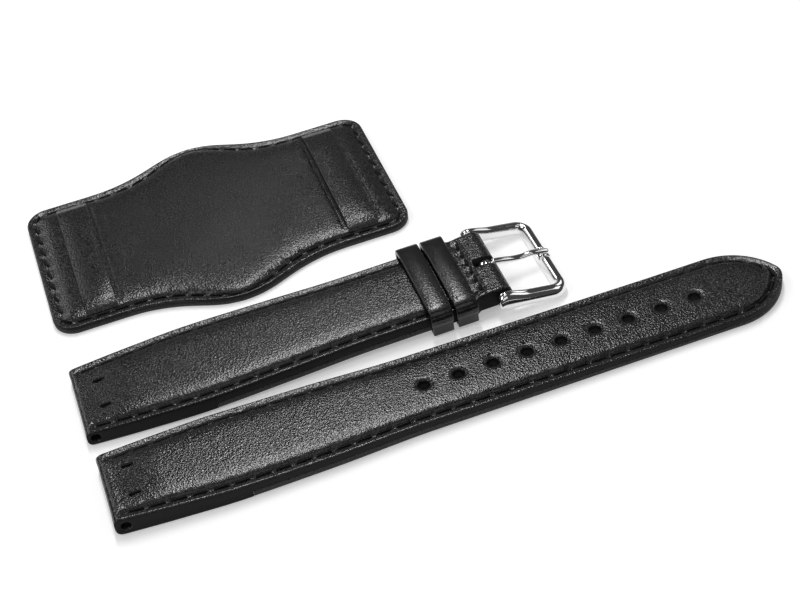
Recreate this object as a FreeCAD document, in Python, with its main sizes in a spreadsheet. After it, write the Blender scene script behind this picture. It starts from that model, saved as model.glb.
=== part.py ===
# Bund watch strap: pad, short half with buckle, long half with holes.
# Three loose leather pieces lie side by side on a table, as they come out of the pack.
# Frame: X along the straps towards the buckle, Y to the far side, Z up, table at Z = 0.
import FreeCAD, Part
import math
import os
import Sketcher

V = FreeCAD.Vector
doc = FreeCAD.newDocument("bund_watch_strap")

# Driving dimensions, millimetres and degrees
SIZES = {
    # where each piece lies on the table
    "pad_place_x": -28.7, "pad_place_y": 24.6,
    "short_place_x": -65.4, "short_place_y": -16.7,
    "long_place_x": -64.9, "long_place_y": -40.4,
    # pad
    "pad_length": 74.0, "pad_end_width": 39.2, "pad_middle_width": 51.0, "pad_flare_radius": 16.0,
    "pad_corner": 4.5, "pad_lining": 0.85, "pad_edge": 1.75, "pad_crown": 0.55, "pad_felt": 0.6,
    "loop_width": 6.4, "loop_leather": 1.0, "loop_span": 34.0, "loop_from_end": 9.8, "loop_gap": 0.7,
    "loop_foot": 2.5, "loop_ramp": 4.0,
    # seams
    "seam_inset": 1.75, "panel_inset": 2.4, "felt_inset": 3.3,
    "stitch_long": 2.8, "stitch_wide": 0.55, "stitch_high": 0.3, "stitch_pitch": 3.8,
    # leather shared by the two halves
    "lining": 1.5, "skin": 1.1, "tail": 24.4, "lug_tunnel": 0.95, "panel_bevel": 0.3,
    "panel_foot": 1.25, "panel_slope": 20.0,
    "flare_one": 11.6, "flare_two": 23.3, "flare_three": 38.8,
    "tack_long": 2.4, "tack_wide": 0.7, "tack_from_end": 3.9, "tack_apart": 6.9,
    # short half: half widths, thickness and buckle end
    "short_lug": 8.95, "short_flare_one": 9.9, "short_flare_two": 10.45, "short_flare_three": 10.0,
    "short_body": 9.4, "short_even_from": 55.0, "short_edge": 3.3, "short_crown": 0.65,
    "short_flap_from": 69.0, "short_body_end": 76.2, "fold_half": 8.75, "fold_high": 4.1, "fold_step": 0.6,
    "panel_end": 0.4, "panel_start": 0.9, "panel_ramp": 2.7, "felt_past_flap": 4.0,
    "bar_from_lug": 81.3, "bar_tunnel": 0.85, "slot_from": 78.8, "slot_half": 1.1,
    "cross_row": 77.8, "cross_stitch": 1.9, "cross_pitch": 2.5,
    # keepers
    "keeper_wide": 4.4, "keeper_leather": 0.95, "keeper_half": 9.75, "keeper_corner": 0.35,
    "keeper_outer": 1.2,
    "fixed_keeper_from": 71.4, "free_keeper_from": 66.4, "fixed_head": 4.1,
    "free_foot": 0.15, "free_head": 4.2,
    # long half: half widths, thickness, holes and tip
    "long_lug": 8.2, "long_flare_one": 9.1, "long_flare_two": 9.65, "long_flare_three": 9.45,
    "long_body": 8.73, "long_even_from": 58.2, "long_edge_lug": 4.0, "long_edge_mid": 3.14,
    "long_edge_tip": 2.27, "long_mid": 29.1, "long_thin_from": 107.0, "long_lining_tip": 1.1,
    "long_crown": 0.7, "long_crown_tip": 0.4, "tip_shoulder": 118.8, "tip_arc": 12.6, "tip_nose": 2.9,
    "tip_end": 130.2, "hole_first": 59.5, "hole_pitch": 6.68, "hole_radius": 1.0, "hole_count": 9,
    # buckle, measured from the bar's axis
    "frame_inner_half": 9.0, "frame_bar": 2.1, "frame_reach": 12.9, "frame_high": 2.4,
    "frame_corner": 3.4, "frame_bevel": 0.65, "frame_foot_bevel": 0.3, "boss_radius": 1.3, "boss_rim": 0.4,
    "pin_hole": 0.46, "pin_hole_deep": 1.35,
    "tang_width": 1.5, "tang_eye_bore": 0.83, "tang_eye": 1.75, "tang_wire": 0.6, "tang_bend": 1.6,
    "notch_deep": 0.3, "notch_half": 0.95,
    # spring bar
    "tube_radius": 0.75, "tube_bore": 0.52, "tube_half": 8.5, "tube_lip": 0.4,
    "pin_radius": 0.4, "pin_tip": 10.2, "plunger_radius": 0.47, "plunger_from": 5.1,
    "plunger_to": 8.0, "spring_half": 5.0, "spring_radius": 0.34, "spring_wire": 0.09,
    "spring_pitch": 0.9,
}

sheet = doc.addObject("Spreadsheet::Sheet", "sizes")
for row, (alias, size) in enumerate(SIZES.items(), start=1):
    sheet.set(f"A{row}", alias)
    sheet.set(f"B{row}", str(size))
    sheet.setAlias(f"B{row}", alias)
doc.recompute()


class Size:
    """A number read from the sheet, together with the expression that gives it."""

    def __init__(self, number, text):
        self.number = number
        self.text = text

    def join(self, other, sign):
        other = other if isinstance(other, Size) else Size(other, repr(float(other)))
        table = {"+": self.number + other.number, "-": self.number - other.number}
        if sign in table:
            return Size(table[sign], f"({self.text} {sign} {other.text})")
        product = self.number * other.number if sign == "*" else self.number / other.number
        return Size(product, f"({self.text} {sign} {other.text})")

    def __add__(self, other):
        return self.join(other, "+")

    def __sub__(self, other):
        return self.join(other, "-")

    def __mul__(self, other):
        return self.join(other, "*")

    def __truediv__(self, other):
        return self.join(other, "/")

    def __neg__(self):
        return Size(-self.number, f"(0 - {self.text})")


def D(alias):
    """The named driving dimension, for sketches and properties bound to the sheet."""
    return Size(float(sheet.get(alias)), f"sizes.{alias}")


def N(alias):
    """The named driving dimension as a plain number."""
    return float(sheet.get(alias))


def number(value):
    return value.number if isinstance(value, Size) else float(value)


ZERO = Size(0.0, "0")


def bind(item, prop, value):
    """Set a property or sketch constraint from the sheet."""
    if isinstance(value, Size):
        item.setExpression(prop, value.text)
    elif not prop.startswith("Constraints"):
        setattr(item, prop, value)


SIDE = FreeCAD.Rotation(V(1, 0, 0), 90)


def outline(sketch, corners, arcs=None):
    """Draw a closed outline. corners: (across, up) pairs. arcs: {corner index: (radius, ccw)}
    makes the stretch that starts at that corner an arc. Every corner is bound to the sheet."""
    arcs = arcs or {}
    count = len(corners)
    ends = []
    for index in range(count):
        start = V(number(corners[index][0]), number(corners[index][1]), 0)
        after = corners[(index + 1) % count]
        stop = V(number(after[0]), number(after[1]), 0)
        if index not in arcs:
            sketch.addGeometry(Part.LineSegment(start, stop), False)
            ends.append((1, 2))
            continue
        radius, ccw = arcs[index]
        first, last = (start, stop) if ccw else (stop, start)
        half = (last - first) * 0.5
        rise = math.sqrt(max(number(radius) ** 2 - half.Length ** 2, 0.0))
        centre = first + half + V(-half.y, half.x, 0).normalize() * rise
        turn = [math.atan2(p.y - centre.y, p.x - centre.x) for p in (first, last)]
        circle = Part.Circle(centre, V(0, 0, 1), number(radius))
        sketch.addGeometry(Part.ArcOfCircle(circle, turn[0], turn[1]), False)
        ends.append((1, 2) if ccw else (2, 1))
    for index in range(count):
        nxt = (index + 1) % count
        sketch.addConstraint(Sketcher.Constraint("Coincident", index, ends[index][1], nxt, ends[nxt][0]))
        for kind, value in zip(("DistanceX", "DistanceY"), corners[index]):
            rule = Sketcher.Constraint(kind, index, ends[index][0], number(value))
            place = sketch.addConstraint(rule)
            bind(sketch, f"Constraints[{place}]", value)
        if index in arcs:
            radius = arcs[index][0]
            straight = abs((number(corners[index][1]) - number(corners[nxt][1]))) - 2 * number(radius)
            if abs(straight) > 1e-6:
                place = sketch.addConstraint(Sketcher.Constraint("Radius", index, number(radius)))
                bind(sketch, f"Constraints[{place}]", radius)
            else:
                rule = Sketcher.Constraint("DistanceX", index, 3, number(corners[index][0]))
                place = sketch.addConstraint(rule)
                bind(sketch, f"Constraints[{place}]", corners[index][0])
    return sketch


def free_sketch(name, upright=False):
    sketch = doc.addObject("Sketcher::SketchObject", name)
    if upright:
        sketch.Placement = FreeCAD.Placement(V(0, 0, 0), SIDE)
    return sketch


def prism(name, sketch, length, upright=False):
    """Straight solid over a sketch: along Z from the table, or both ways along Y."""
    solid = doc.addObject("Part::Extrusion", name)
    solid.Base = sketch
    solid.DirMode = "Normal"
    solid.Solid = True
    solid.Symmetric = upright
    bind(solid, "LengthFwd", length)
    return solid


def slab(name, corners, width, arcs=None):
    """Side profile (X, Z) drawn out across the strap."""
    return prism(name, outline(free_sketch(name + "_side", True), corners, arcs), width, True)


def boolean(kind, name, first, second):
    item = doc.addObject("Part::" + kind, name)
    item.Base = first
    item.Tool = second
    return item


def common(name, first, second):
    return boolean("Common", name, first, second)


def cut(name, first, second):
    return boolean("Cut", name, first, second)


def fuse(name, first, second):
    return boolean("Fuse", name, first, second)


def cross_rod(name, radius, along, up, half):
    """Round rod across the strap, for tunnels."""
    rod = doc.addObject("Part::Cylinder", name)
    bind(rod, "Radius", radius)
    bind(rod, "Height", half * 2)
    rod.Placement = FreeCAD.Placement(V(number(along), number(half), number(up)), SIDE)
    return rod


def fixed_shape(name, shape):
    item = doc.addObject("Part::Feature", name)
    item.Shape = shape
    return item


def copy_of(name, source):
    """A second object with the same shape, for a piece that fills its own recess."""
    doc.recompute()
    return fixed_shape(name, source.Shape.copy())


def softened(kind, name, base, width, test):
    """Fillet or Chamfer those edges of base that pass the test."""
    doc.recompute()
    item = doc.addObject("Part::" + kind, name)
    item.Base = base
    chosen = [i for i, edge in enumerate(base.Shape.Edges, start=1) if test(edge)]
    item.Edges = [(i, width, width) for i in chosen]
    return item


def bar_stitch(centre, turn, length, width, height):
    """One stitch or tack, lying along the direction given in degrees."""
    box = Part.makeBox(length, width, height, V(-length / 2, -width / 2, 0))
    box.rotate(V(0, 0, 0), V(0, 0, 1), turn)
    box.translate(centre)
    return box


def walk(points, pitch, inset_ends):
    """Places and directions every pitch along a line of points."""
    runs = [(b - a) for a, b in zip(points[:-1], points[1:])]
    total = sum(run.Length for run in runs)
    steps = int(round((total - 2 * inset_ends) / pitch))
    found = []
    for step in range(steps + 1):
        left = inset_ends + step * (total - 2 * inset_ends) / steps
        for start, run in zip(points[:-1], runs):
            if left <= run.Length + 1e-9:
                turn = math.degrees(math.atan2(run.y, run.x))
                found.append((start + run * (left / run.Length), turn))
                break
            left -= run.Length
    return found


def arc_points(centre, radius, start, stop, count):
    angles = [math.radians(start + (stop - start) * i / count) for i in range(count + 1)]
    return [centre + V(math.cos(a), math.sin(a), 0) * radius for a in angles]


DEEP = 30.0
WIDE = Size(DEEP, "30")
parts = {}


def place(item, label, origin, rotation=None):
    """Name the sub-part and lay it where it belongs."""
    item.Label = label
    item.Placement = FreeCAD.Placement(origin, rotation or FreeCAD.Rotation())
    parts[label] = item


# Short half and long half share these side outlines
def side_corners(prefix, inset):
    """Far edge of a half from the lug end to where it runs even, less the inset."""
    stations = (ZERO, D("flare_one"), D("flare_two"), D("flare_three"), D(prefix + "_even_from"))
    widths = (prefix + "_lug", prefix + "_flare_one", prefix + "_flare_two", prefix + "_flare_three",
              prefix + "_body")
    return [(where, D(width) - inset) for where, width in zip(stations, widths)]


def mirrored(far_side):
    """Close an outline with the same corners on the near side."""
    return far_side + [(along, -across) for along, across in reversed(far_side)]


def stitch_comb(name, places, length, width):
    """Upright bars at the stitch places, later cut to the thread's height."""
    bars = [bar_stitch(where, turn, length, width, DEEP) for where, turn in places]
    return fixed_shape(name, Part.makeCompound(bars))


# Short half
SHORT_NOSE = D("short_edge") / 2
FOLD_NOSE = D("fold_high") / 2


def short_plan(name, inset):
    far = side_corners("short", inset)
    far.append((D("short_body_end"), D("short_body") - inset))
    far.append((D("short_body_end") + D("fold_step"), D("fold_half") - inset))
    far.append((D("bar_from_lug") + D("fold_high"), D("fold_half") - inset))
    return prism(name, outline(free_sketch(name + "_plan"), mirrored(far)), DEEP)


def short_panel_plan(name, inset):
    far = side_corners("short", inset)
    far[0] = (D("panel_start"), D("short_lug") - inset)
    far.append((D("short_body_end") - D("panel_end"), D("short_body") - inset))
    return prism(name, outline(free_sketch(name + "_plan"), mirrored(far)), DEEP)


def build_short_half():
    edge = D("short_edge")
    top = edge + D("short_crown")
    end = D("short_body_end")
    sheet_side = [
        (SHORT_NOSE, edge), (SHORT_NOSE, ZERO), (D("tail"), ZERO), (D("tail"), D("lining")),
        (D("short_flap_from"), D("lining")), (D("short_flap_from"), ZERO),
        (D("bar_from_lug"), ZERO), (D("bar_from_lug"), D("fold_high")),
        (end + D("fold_step"), D("fold_high")), (end - D("panel_inset"), edge)]
    body = slab("short_sheet", sheet_side, WIDE, {0: (SHORT_NOSE, True), 6: (FOLD_NOSE, True)})
    body = common("short_trimmed", body, short_plan("short_outline", 0.0))
    start, stop = D("panel_start"), end - D("panel_end")
    sunk = edge - D("panel_end")
    panel_side = [(start, sunk), (stop, sunk), (stop, top), (D("panel_ramp"), top), (start, edge - 0.1)]
    panel = slab("short_panel_block", panel_side, WIDE)
    panel = common("short_panel_sharp", panel, short_panel_plan("short_panel_outline", D("panel_inset")))
    high = number(top)
    panel = softened("Chamfer", "short_panel", panel, N("panel_bevel"),
                     lambda e: min(v.Point.z for v in e.Vertexes) > high - 0.05
                     and abs(e.CenterOfMass.y) > N("fold_half") - N("panel_inset") - 0.6)
    body = fuse("short_padded", body, panel)
    felt_end = D("short_flap_from") + D("felt_past_flap")
    felt_side = [(D("flare_one") / 2, D("lining")), (felt_end, D("lining")), (felt_end, top - D("skin")),
                 (D("flare_one") / 2, top - D("skin"))]
    felt = slab("short_felt_block", felt_side, WIDE)
    felt = common("short_felt", felt, short_panel_plan("short_felt_outline", D("felt_inset")))
    body = cut("short_hollow", body, felt)
    filler = copy_of("short_felt_piece", felt)
    body = cut("short_lug_open", body,
               cross_rod("short_lug_rod", D("lug_tunnel"), SHORT_NOSE, SHORT_NOSE, D("short_flare_two")))
    body = cut("short_bar_open", body,
               cross_rod("short_bar_rod", D("bar_tunnel"), D("bar_from_lug"), FOLD_NOSE, D("fold_half") + 1))
    slot = doc.addObject("Part::Box", "tang_slot")
    bind(slot, "Length", D("bar_from_lug") - D("slot_from") + 5)
    bind(slot, "Width", D("slot_half") * 2)
    slot.Height = DEEP
    slot.Placement = FreeCAD.Placement(V(N("slot_from"), -N("slot_half"), -1), FreeCAD.Rotation())
    body = cut("short_slotted", body, slot)

    lining_side = [(D("tail"), ZERO), (D("short_flap_from"), ZERO),
                   (D("short_flap_from"), D("lining")), (D("tail"), D("lining"))]
    lining = common("short_lining_sheet", slab("short_lining_block", lining_side, WIDE),
                    short_plan("short_lining_outline", 0.0))

    far = [V(number(a), number(b), 0) for a, b in side_corners("short", N("seam_inset"))]
    far[0] = V(N("short_edge"), far[0].y, 0)
    seam_end = N("short_body_end") - N("panel_inset") - N("stitch_long") / 2
    far.append(V(seam_end, N("short_body") - N("seam_inset"), 0))
    near = [V(p.x, -p.y, 0) for p in far]
    spots = walk(far, N("stitch_pitch"), 0.4) + walk(near, N("stitch_pitch"), 0.4)
    comb = stitch_comb("short_comb", spots, N("stitch_long"), N("stitch_wide"))
    thread_side = [(ZERO, edge), (end, edge), (end, edge + D("stitch_high")),
                   (ZERO, edge + D("stitch_high"))]
    thread = common("short_thread", comb, slab("short_thread_slab", thread_side, WIDE))

    tacks = [(V(N("tack_from_end"), side * N("tack_apart") / 2, 0), 0.0) for side in (1, -1)]
    tack_side = [(ZERO, top), (D("tail"), top), (D("tail"), top + D("stitch_high")),
                 (ZERO, top + D("stitch_high"))]
    tacks = [(spot + V(N("tack_long") / 2, 0, 0), turn) for spot, turn in tacks]
    tack = common("short_tack", stitch_comb("short_tack_comb", tacks, N("tack_long"), N("tack_wide")),
                  slab("short_tack_slab", tack_side, WIDE))

    pitch = N("cross_pitch")
    row = [V(N("cross_row"), pitch * step, 0) for step in (-2.5, -1.5, -0.5, 0.5, 1.5, 2.5)]
    cross = [bar_stitch(spot + V(0, 0, N("fold_high")), 82.0, N("cross_stitch"), N("stitch_wide"),
                        N("stitch_high")) for spot in row]
    cross = fixed_shape("fold_thread", Part.makeCompound(cross))
    return {"short_top_leather": body, "short_lining": lining, "short_filler": filler,
            "short_stitching": thread, "short_lug_tacks": tack, "fold_stitching": cross}


SHORT_RISE = math.asin((N("keeper_leather") + N("free_foot")) / N("free_keeper_from"))
SHORT_TURN = FreeCAD.Rotation(V(0, 1, 0), -math.degrees(SHORT_RISE))
SHORT_ORIGIN = V(N("short_place_x"), N("short_place_y"), 0)


def on_short(along, up):
    """A point of the short half's middle line, in the part's frame."""
    return SHORT_ORIGIN + SHORT_TURN.multVec(V(along, 0, up))


for label, item in build_short_half().items():
    place(item, label, SHORT_ORIGIN, SHORT_TURN)


# Keepers: closed leather loops round the short half
def origin_plane(body, role):
    return [feature for feature in body.Origin.OriginFeatures if feature.Role == role][0]


def body_sketch(body, name, role):
    sketch = body.newObject("Sketcher::SketchObject", name)
    sketch.AttachmentSupport = [(origin_plane(body, role), "")]
    sketch.MapMode = "FlatFace"
    return sketch


def pad_feature(body, name, sketch, length, both_ways=False):
    pad = body.newObject("PartDesign::Pad", name)
    pad.Profile = sketch
    bind(pad, "Length", length)
    pad.Midplane = both_ways
    return pad


def pocket_feature(body, name, sketch, length, both_ways=False, turned=False):
    doc.recompute()
    before = body.Shape.Volume
    pocket = body.newObject("PartDesign::Pocket", name)
    pocket.Profile = sketch
    bind(pocket, "Length", length)
    pocket.Midplane = both_ways
    pocket.Reversed = turned
    doc.recompute()
    if body.Shape.Volume > before - 1e-6:
        raise RuntimeError(name + " cuts nothing")
    return pocket


def round_edges(body, name, radius, test, kind="Fillet", prop="Radius"):
    doc.recompute()
    tip = body.Tip
    names = [f"Edge{i}" for i, edge in enumerate(tip.Shape.Edges, start=1) if test(edge)]
    if not names:
        raise RuntimeError(name + " finds no edge")
    feature = body.newObject("PartDesign::" + kind, name)
    feature.Base = (tip, names)
    bind(feature, prop, radius)
    return feature


def box_corners(left, right, low, high):
    return [(left, low), (right, low), (right, high), (left, high)]


def keeper(name, start, foot, head):
    """Loop round the strap: the inner hole is keeper_half each side, from -foot to head."""
    body = doc.addObject("PartDesign::Body", name)
    half = D("keeper_half")
    wall = D("keeper_leather")
    outer = body_sketch(body, name + "_outer", "YZ_Plane")
    outline(outer, box_corners(-half - wall, half + wall, -foot - wall, head + wall))
    pad_feature(body, name + "_band", outer, D("keeper_wide"))
    long_edge = lambda e: e.BoundBox.XLength > 1 and e.BoundBox.YLength < 0.01
    round_edges(body, name + "_corner", D("keeper_outer"), long_edge)
    hole = body_sketch(body, name + "_hole", "YZ_Plane")
    outline(hole, box_corners(-half, half, -foot, head))
    pocket_feature(body, name + "_opening", hole, D("keeper_wide") * 2, True)
    inner = lambda e: long_edge(e) and abs(abs(e.CenterOfMass.y) - half.number) < 0.01
    round_edges(body, name + "_inner", D("keeper_corner"), inner)
    place(body, name, on_short(start, 0), SHORT_TURN)


keeper("fixed_keeper", N("fixed_keeper_from"), ZERO, D("fixed_head"))
keeper("free_keeper", N("free_keeper_from"), D("free_foot"), D("free_head"))

# Buckle: a polished frame open towards the strap, its ends on the spring bar
BAR_CENTRE = on_short(N("bar_from_lug"), N("fold_high") / 2)
FRAME_DROP = math.asin((BAR_CENTRE.z - N("frame_high") / 2) / N("frame_reach"))
FRAME_TURN = FreeCAD.Rotation(V(0, 1, 0), math.degrees(FRAME_DROP))


def build_frame():
    body = doc.addObject("PartDesign::Body", "frame")
    half = D("frame_inner_half")
    bar = D("frame_bar")
    reach = D("frame_reach")
    plan = body_sketch(body, "frame_plan", "XY_Plane")
    outline(plan, [
        (ZERO, -half - bar), (reach, -half - bar), (reach, half + bar), (ZERO, half + bar),
        (ZERO, half), (reach - bar, half), (reach - bar, -half), (ZERO, -half)])
    pad_feature(body, "frame_bars", plan, D("frame_high"), True)
    upright = lambda e: e.BoundBox.ZLength > 1 and e.BoundBox.XLength < 0.01 and e.BoundBox.YLength < 0.01
    front = N("frame_reach") - 0.05
    round_edges(body, "frame_corners", D("frame_corner"), lambda e: upright(e) and e.CenterOfMass.x > front)
    inner = N("frame_reach") - N("frame_bar")
    round_edges(body, "frame_inner_corners", D("frame_corner") - D("frame_bar") * 0.7,
                lambda e: upright(e) and abs(e.CenterOfMass.x - inner) < 0.05)
    top = N("frame_high") / 2
    on_top = lambda e: e.BoundBox.ZMin > top - 0.01 and e.CenterOfMass.x > 0.01
    round_edges(body, "frame_crest", D("frame_bevel"), on_top, "Chamfer", "Size")
    under = lambda e: e.BoundBox.ZMax < -top + 0.01 and e.CenterOfMass.x > 0.01
    round_edges(body, "frame_foot", D("frame_foot_bevel"), under, "Chamfer", "Size")
    for side, word in ((1, "far"), (-1, "near")):
        boss = body_sketch(body, f"boss_{word}", "YZ_Plane")
        radius = D("boss_radius")
        rim = D("boss_rim")
        outline(boss, [(half * side, ZERO), (half * side, radius), ((half + bar - rim) * side, radius),
                       ((half + bar) * side, radius - rim), ((half + bar) * side, ZERO)])
        swell = body.newObject("PartDesign::Revolution", boss.Name + "_swell")
        swell.Profile = boss
        swell.ReferenceAxis = (boss, ["H_Axis"])
        swell.Angle = 360
        doc.recompute()
    hole = body_sketch(body, "pin_holes", "XZ_Plane")
    hole.addGeometry(Part.Circle(V(0, 0, 0), V(0, 0, 1), N("pin_hole")), False)
    hole.addConstraint(Sketcher.Constraint("Coincident", 0, 3, -1, 1))
    where = hole.addConstraint(Sketcher.Constraint("Radius", 0, N("pin_hole")))
    bind(hole, f"Constraints[{where}]", D("pin_hole"))
    pocket_feature(body, "pin_bores", hole, (half + D("pin_hole_deep")) * 2, True)
    notch = body_sketch(body, "notch_plan", "YZ_Plane")
    half_notch = D("notch_half")
    floor = D("frame_high") / 2 - D("notch_deep")
    outline(notch, box_corners(-half_notch, half_notch, floor, D("frame_high")))
    pocket_feature(body, "tang_notch", notch, reach * 2, True)
    return body


frame = build_frame()
place(frame, "buckle_frame", BAR_CENTRE, FRAME_TURN)


def rounded_path(corners, bend):
    """Straight runs joined by tangent arcs, in the X-Z plane of the tang."""
    pieces = []
    start = corners[0]
    for before, corner, after in zip(corners[:-2], corners[1:-1], corners[2:]):
        into = (corner - before).normalize()
        out = (after - corner).normalize()
        turn = into.getAngle(out)
        back = bend * math.tan(turn / 2)
        first = corner - into * back
        last = corner + out * back
        middle = corner + (out - into).normalize() * (bend / math.cos(turn / 2) - bend)
        pieces.append(Part.LineSegment(start, first))
        pieces.append(Part.Arc(first, middle, last))
        start = last
    pieces.append(Part.LineSegment(start, corners[-1]))
    return pieces


def build_tang():
    """Polished eight-sided pin bent to an S, with an eye rolled round the spring bar."""
    body = doc.addObject("PartDesign::Body", "tang")
    ring = body_sketch(body, "eye_profile", "XZ_Plane")
    for radius in ("tang_eye", "tang_eye_bore"):
        circle = ring.addGeometry(Part.Circle(V(0, 0, 0), V(0, 0, 1), N(radius)), False)
        ring.addConstraint(Sketcher.Constraint("Coincident", circle, 3, -1, 1))
        where = ring.addConstraint(Sketcher.Constraint("Radius", circle, N(radius)))
        bind(ring, f"Constraints[{where}]", D(radius))
    pad_feature(body, "eye", ring, D("tang_width"), True)
    wire = N("tang_wire")
    lift = N("frame_high") / 2 - N("notch_deep") + wire + 0.1
    middle = (N("tang_eye") + N("tang_eye_bore")) / 2
    reach = N("frame_reach")
    run = [V(0.8, middle, 0), V(reach * 0.42, middle - 0.3, 0), V(reach * 0.72, lift + 0.12, 0),
           V(reach * 0.9, lift, 0), V(reach * 0.98, lift - 0.05, 0)]
    path = body_sketch(body, "tang_run", "XZ_Plane")
    for piece in rounded_path(run, N("tang_bend")):
        path.addGeometry(piece, False)
    section = body_sketch(body, "tang_section", "YZ_Plane")
    section.AttachmentOffset = FreeCAD.Placement(V(0, 0, run[0].x), FreeCAD.Rotation())
    flat = D("tang_wire") * math.tan(math.radians(22.5))
    side = D("tang_wire")
    mid = Size(middle, repr(middle))
    outline(section, [(side, mid - flat), (side, mid + flat), (flat, mid + side), (-flat, mid + side),
                      (-side, mid + flat), (-side, mid - flat), (-flat, mid - side), (flat, mid - side)])
    doc.recompute()
    shank = body.newObject("PartDesign::AdditivePipe", "shank")
    shank.Profile = section
    shank.Spine = path
    doc.recompute()
    tip_x = run[-1].x - 0.1
    round_edges(body, "tang_tip", D("tang_wire") * 0.3,
                lambda e: e.CenterOfMass.x > tip_x and e.BoundBox.XLength < 0.2, "Chamfer", "Size")
    place(body, "buckle_tang", BAR_CENTRE, FRAME_TURN)


build_tang()


# Spring bar: tube with a lip at each end, two plungers and a coil spring
def turned(name, profile):
    """Solid turned about the bar's axis. profile: (distance along the bar, radius) corners."""
    body = doc.addObject("PartDesign::Body", name + "_turned")
    sketch = body_sketch(body, name + "_profile", "YZ_Plane")
    outline(sketch, profile)
    spin = body.newObject("PartDesign::Revolution", name + "_spin")
    spin.Profile = sketch
    spin.ReferenceAxis = (sketch, ["H_Axis"])
    spin.Angle = 360
    place(body, name, BAR_CENTRE, FRAME_TURN)
    return body


lip = D("tube_half") - D("tube_lip")
slide_hole = D("pin_radius") + 0.03
turned("spring_bar_tube", [
    (-D("tube_half"), slide_hole), (-D("tube_half"), D("tube_radius")), (D("tube_half"), D("tube_radius")),
    (D("tube_half"), slide_hole), (lip, slide_hole), (lip, D("tube_bore")), (-lip, D("tube_bore")),
    (-lip, slide_hole)])
for side, name in ((1, "spring_bar_pin_far"), (-1, "spring_bar_pin_near")):
    axis = ZERO
    turned(name, [
        (D("plunger_from") * side, axis), (D("plunger_from") * side, D("plunger_radius")),
        (D("plunger_to") * side, D("plunger_radius")), (D("plunger_to") * side, D("pin_radius")),
        (D("pin_tip") * side, D("pin_radius")), (D("pin_tip") * side, axis)])


def coil(name):
    """Coil between the plungers, its axis along the bar. It lies hidden, so each turn is an octagon."""
    wire = N("spring_wire")
    turns_length = 2 * N("spring_half") - 2 * wire
    steps = int(turns_length / N("spring_pitch") * 8)
    run = []
    for step in range(steps + 1):
        turn = math.radians(45 * step)
        spot = V(math.cos(turn), math.sin(turn), 0) * N("spring_radius")
        run.append(spot + V(0, 0, turns_length * step / steps))
    inner, outer = N("spring_radius") - wire, N("spring_radius") + wire
    wire_end = Part.makePolygon([V(inner, 0, -wire), V(outer, 0, -wire), V(outer, 0, wire),
                                 V(inner, 0, wire), V(inner, 0, -wire)])
    shape = Part.makePolygon(run).makePipeShell([wire_end], True, False, 1)
    shape.translate(V(0, 0, -turns_length / 2))
    shape.rotate(V(0, 0, 0), V(1, 0, 0), 90)
    place(fixed_shape(name + "_wire", Part.makeCompound([shape])), name, BAR_CENTRE, FRAME_TURN)


coil("spring_bar_spring")

# Long half
LONG_NOSE = D("long_edge_lug") / 2
LONG_ORIGIN = V(N("long_place_x"), N("long_place_y"), 0)


def tip_outline(sketch, far, inset):
    """Straight sides, then two arcs that meet in a small round nose."""
    shoulder = D("tip_shoulder")
    big = D("tip_arc") - inset
    nose = D("tip_nose") - inset if number(inset) < 2.5 else Size(0.3, "0.3")
    width = D("long_body") - inset
    corners = far + [(shoulder, width)]
    flat = [V(number(a), number(b), 0) for a, b in corners]
    near = [V(p.x, -p.y, 0) for p in reversed(flat)]
    line = near + flat
    for start, stop in zip(line[:-1], line[1:]):
        sketch.addGeometry(Part.LineSegment(start, stop), False)
    for index in range(len(line) - 2):
        sketch.addConstraint(Sketcher.Constraint("Coincident", index, 2, index + 1, 1))
    bound = [(a, -b) for a, b in reversed(corners)] + corners
    for index, pair in enumerate(bound):
        owner, end = (index, 1) if index < len(line) - 1 else (index - 1, 2)
        for kind, value in zip(("DistanceX", "DistanceY"), pair):
            rule = sketch.addConstraint(Sketcher.Constraint(kind, owner, end, number(value)))
            bind(sketch, f"Constraints[{rule}]", value)
    radius, small = number(big), number(nose)
    drop = radius - number(width)
    reach = math.sqrt((radius - small) ** 2 - drop ** 2)
    centre = V(number(shoulder) + reach, 0, 0)
    touch = math.degrees(math.atan2(drop, reach))
    arcs = []
    for side in (1, -1):
        middle = V(number(shoulder), -side * drop, 0)
        span = (math.radians(touch), math.pi / 2) if side > 0 else (-math.pi / 2, -math.radians(touch))
        circle = Part.Circle(middle, V(0, 0, 1), radius)
        arcs.append(sketch.addGeometry(Part.ArcOfCircle(circle, *span), False))
    turn = math.radians(touch)
    tip = sketch.addGeometry(Part.ArcOfCircle(Part.Circle(centre, V(0, 0, 1), small), -turn, turn), False)
    last = len(line) - 2
    sketch.addConstraint(Sketcher.Constraint("Coincident", last, 2, arcs[0], 2))
    sketch.addConstraint(Sketcher.Constraint("Coincident", 0, 1, arcs[1], 1))
    sketch.addConstraint(Sketcher.Constraint("Tangent", arcs[0], 1, tip, 2))
    sketch.addConstraint(Sketcher.Constraint("Tangent", arcs[1], 2, tip, 1))
    for arc in arcs:
        rule = sketch.addConstraint(Sketcher.Constraint("Radius", arc, radius))
        bind(sketch, f"Constraints[{rule}]", big)
        rule = sketch.addConstraint(Sketcher.Constraint("DistanceX", arc, 3, number(shoulder)))
        bind(sketch, f"Constraints[{rule}]", shoulder)
    rule = sketch.addConstraint(Sketcher.Constraint("Radius", tip, small))
    bind(sketch, f"Constraints[{rule}]", nose)
    return sketch


def long_plan(name, inset, first=None, height=DEEP):
    far = side_corners("long", inset)
    if first is not None:
        far[0] = (first, far[0][1])
    return prism(name, tip_outline(free_sketch(name + "_plan"), far, inset), height)


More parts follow.
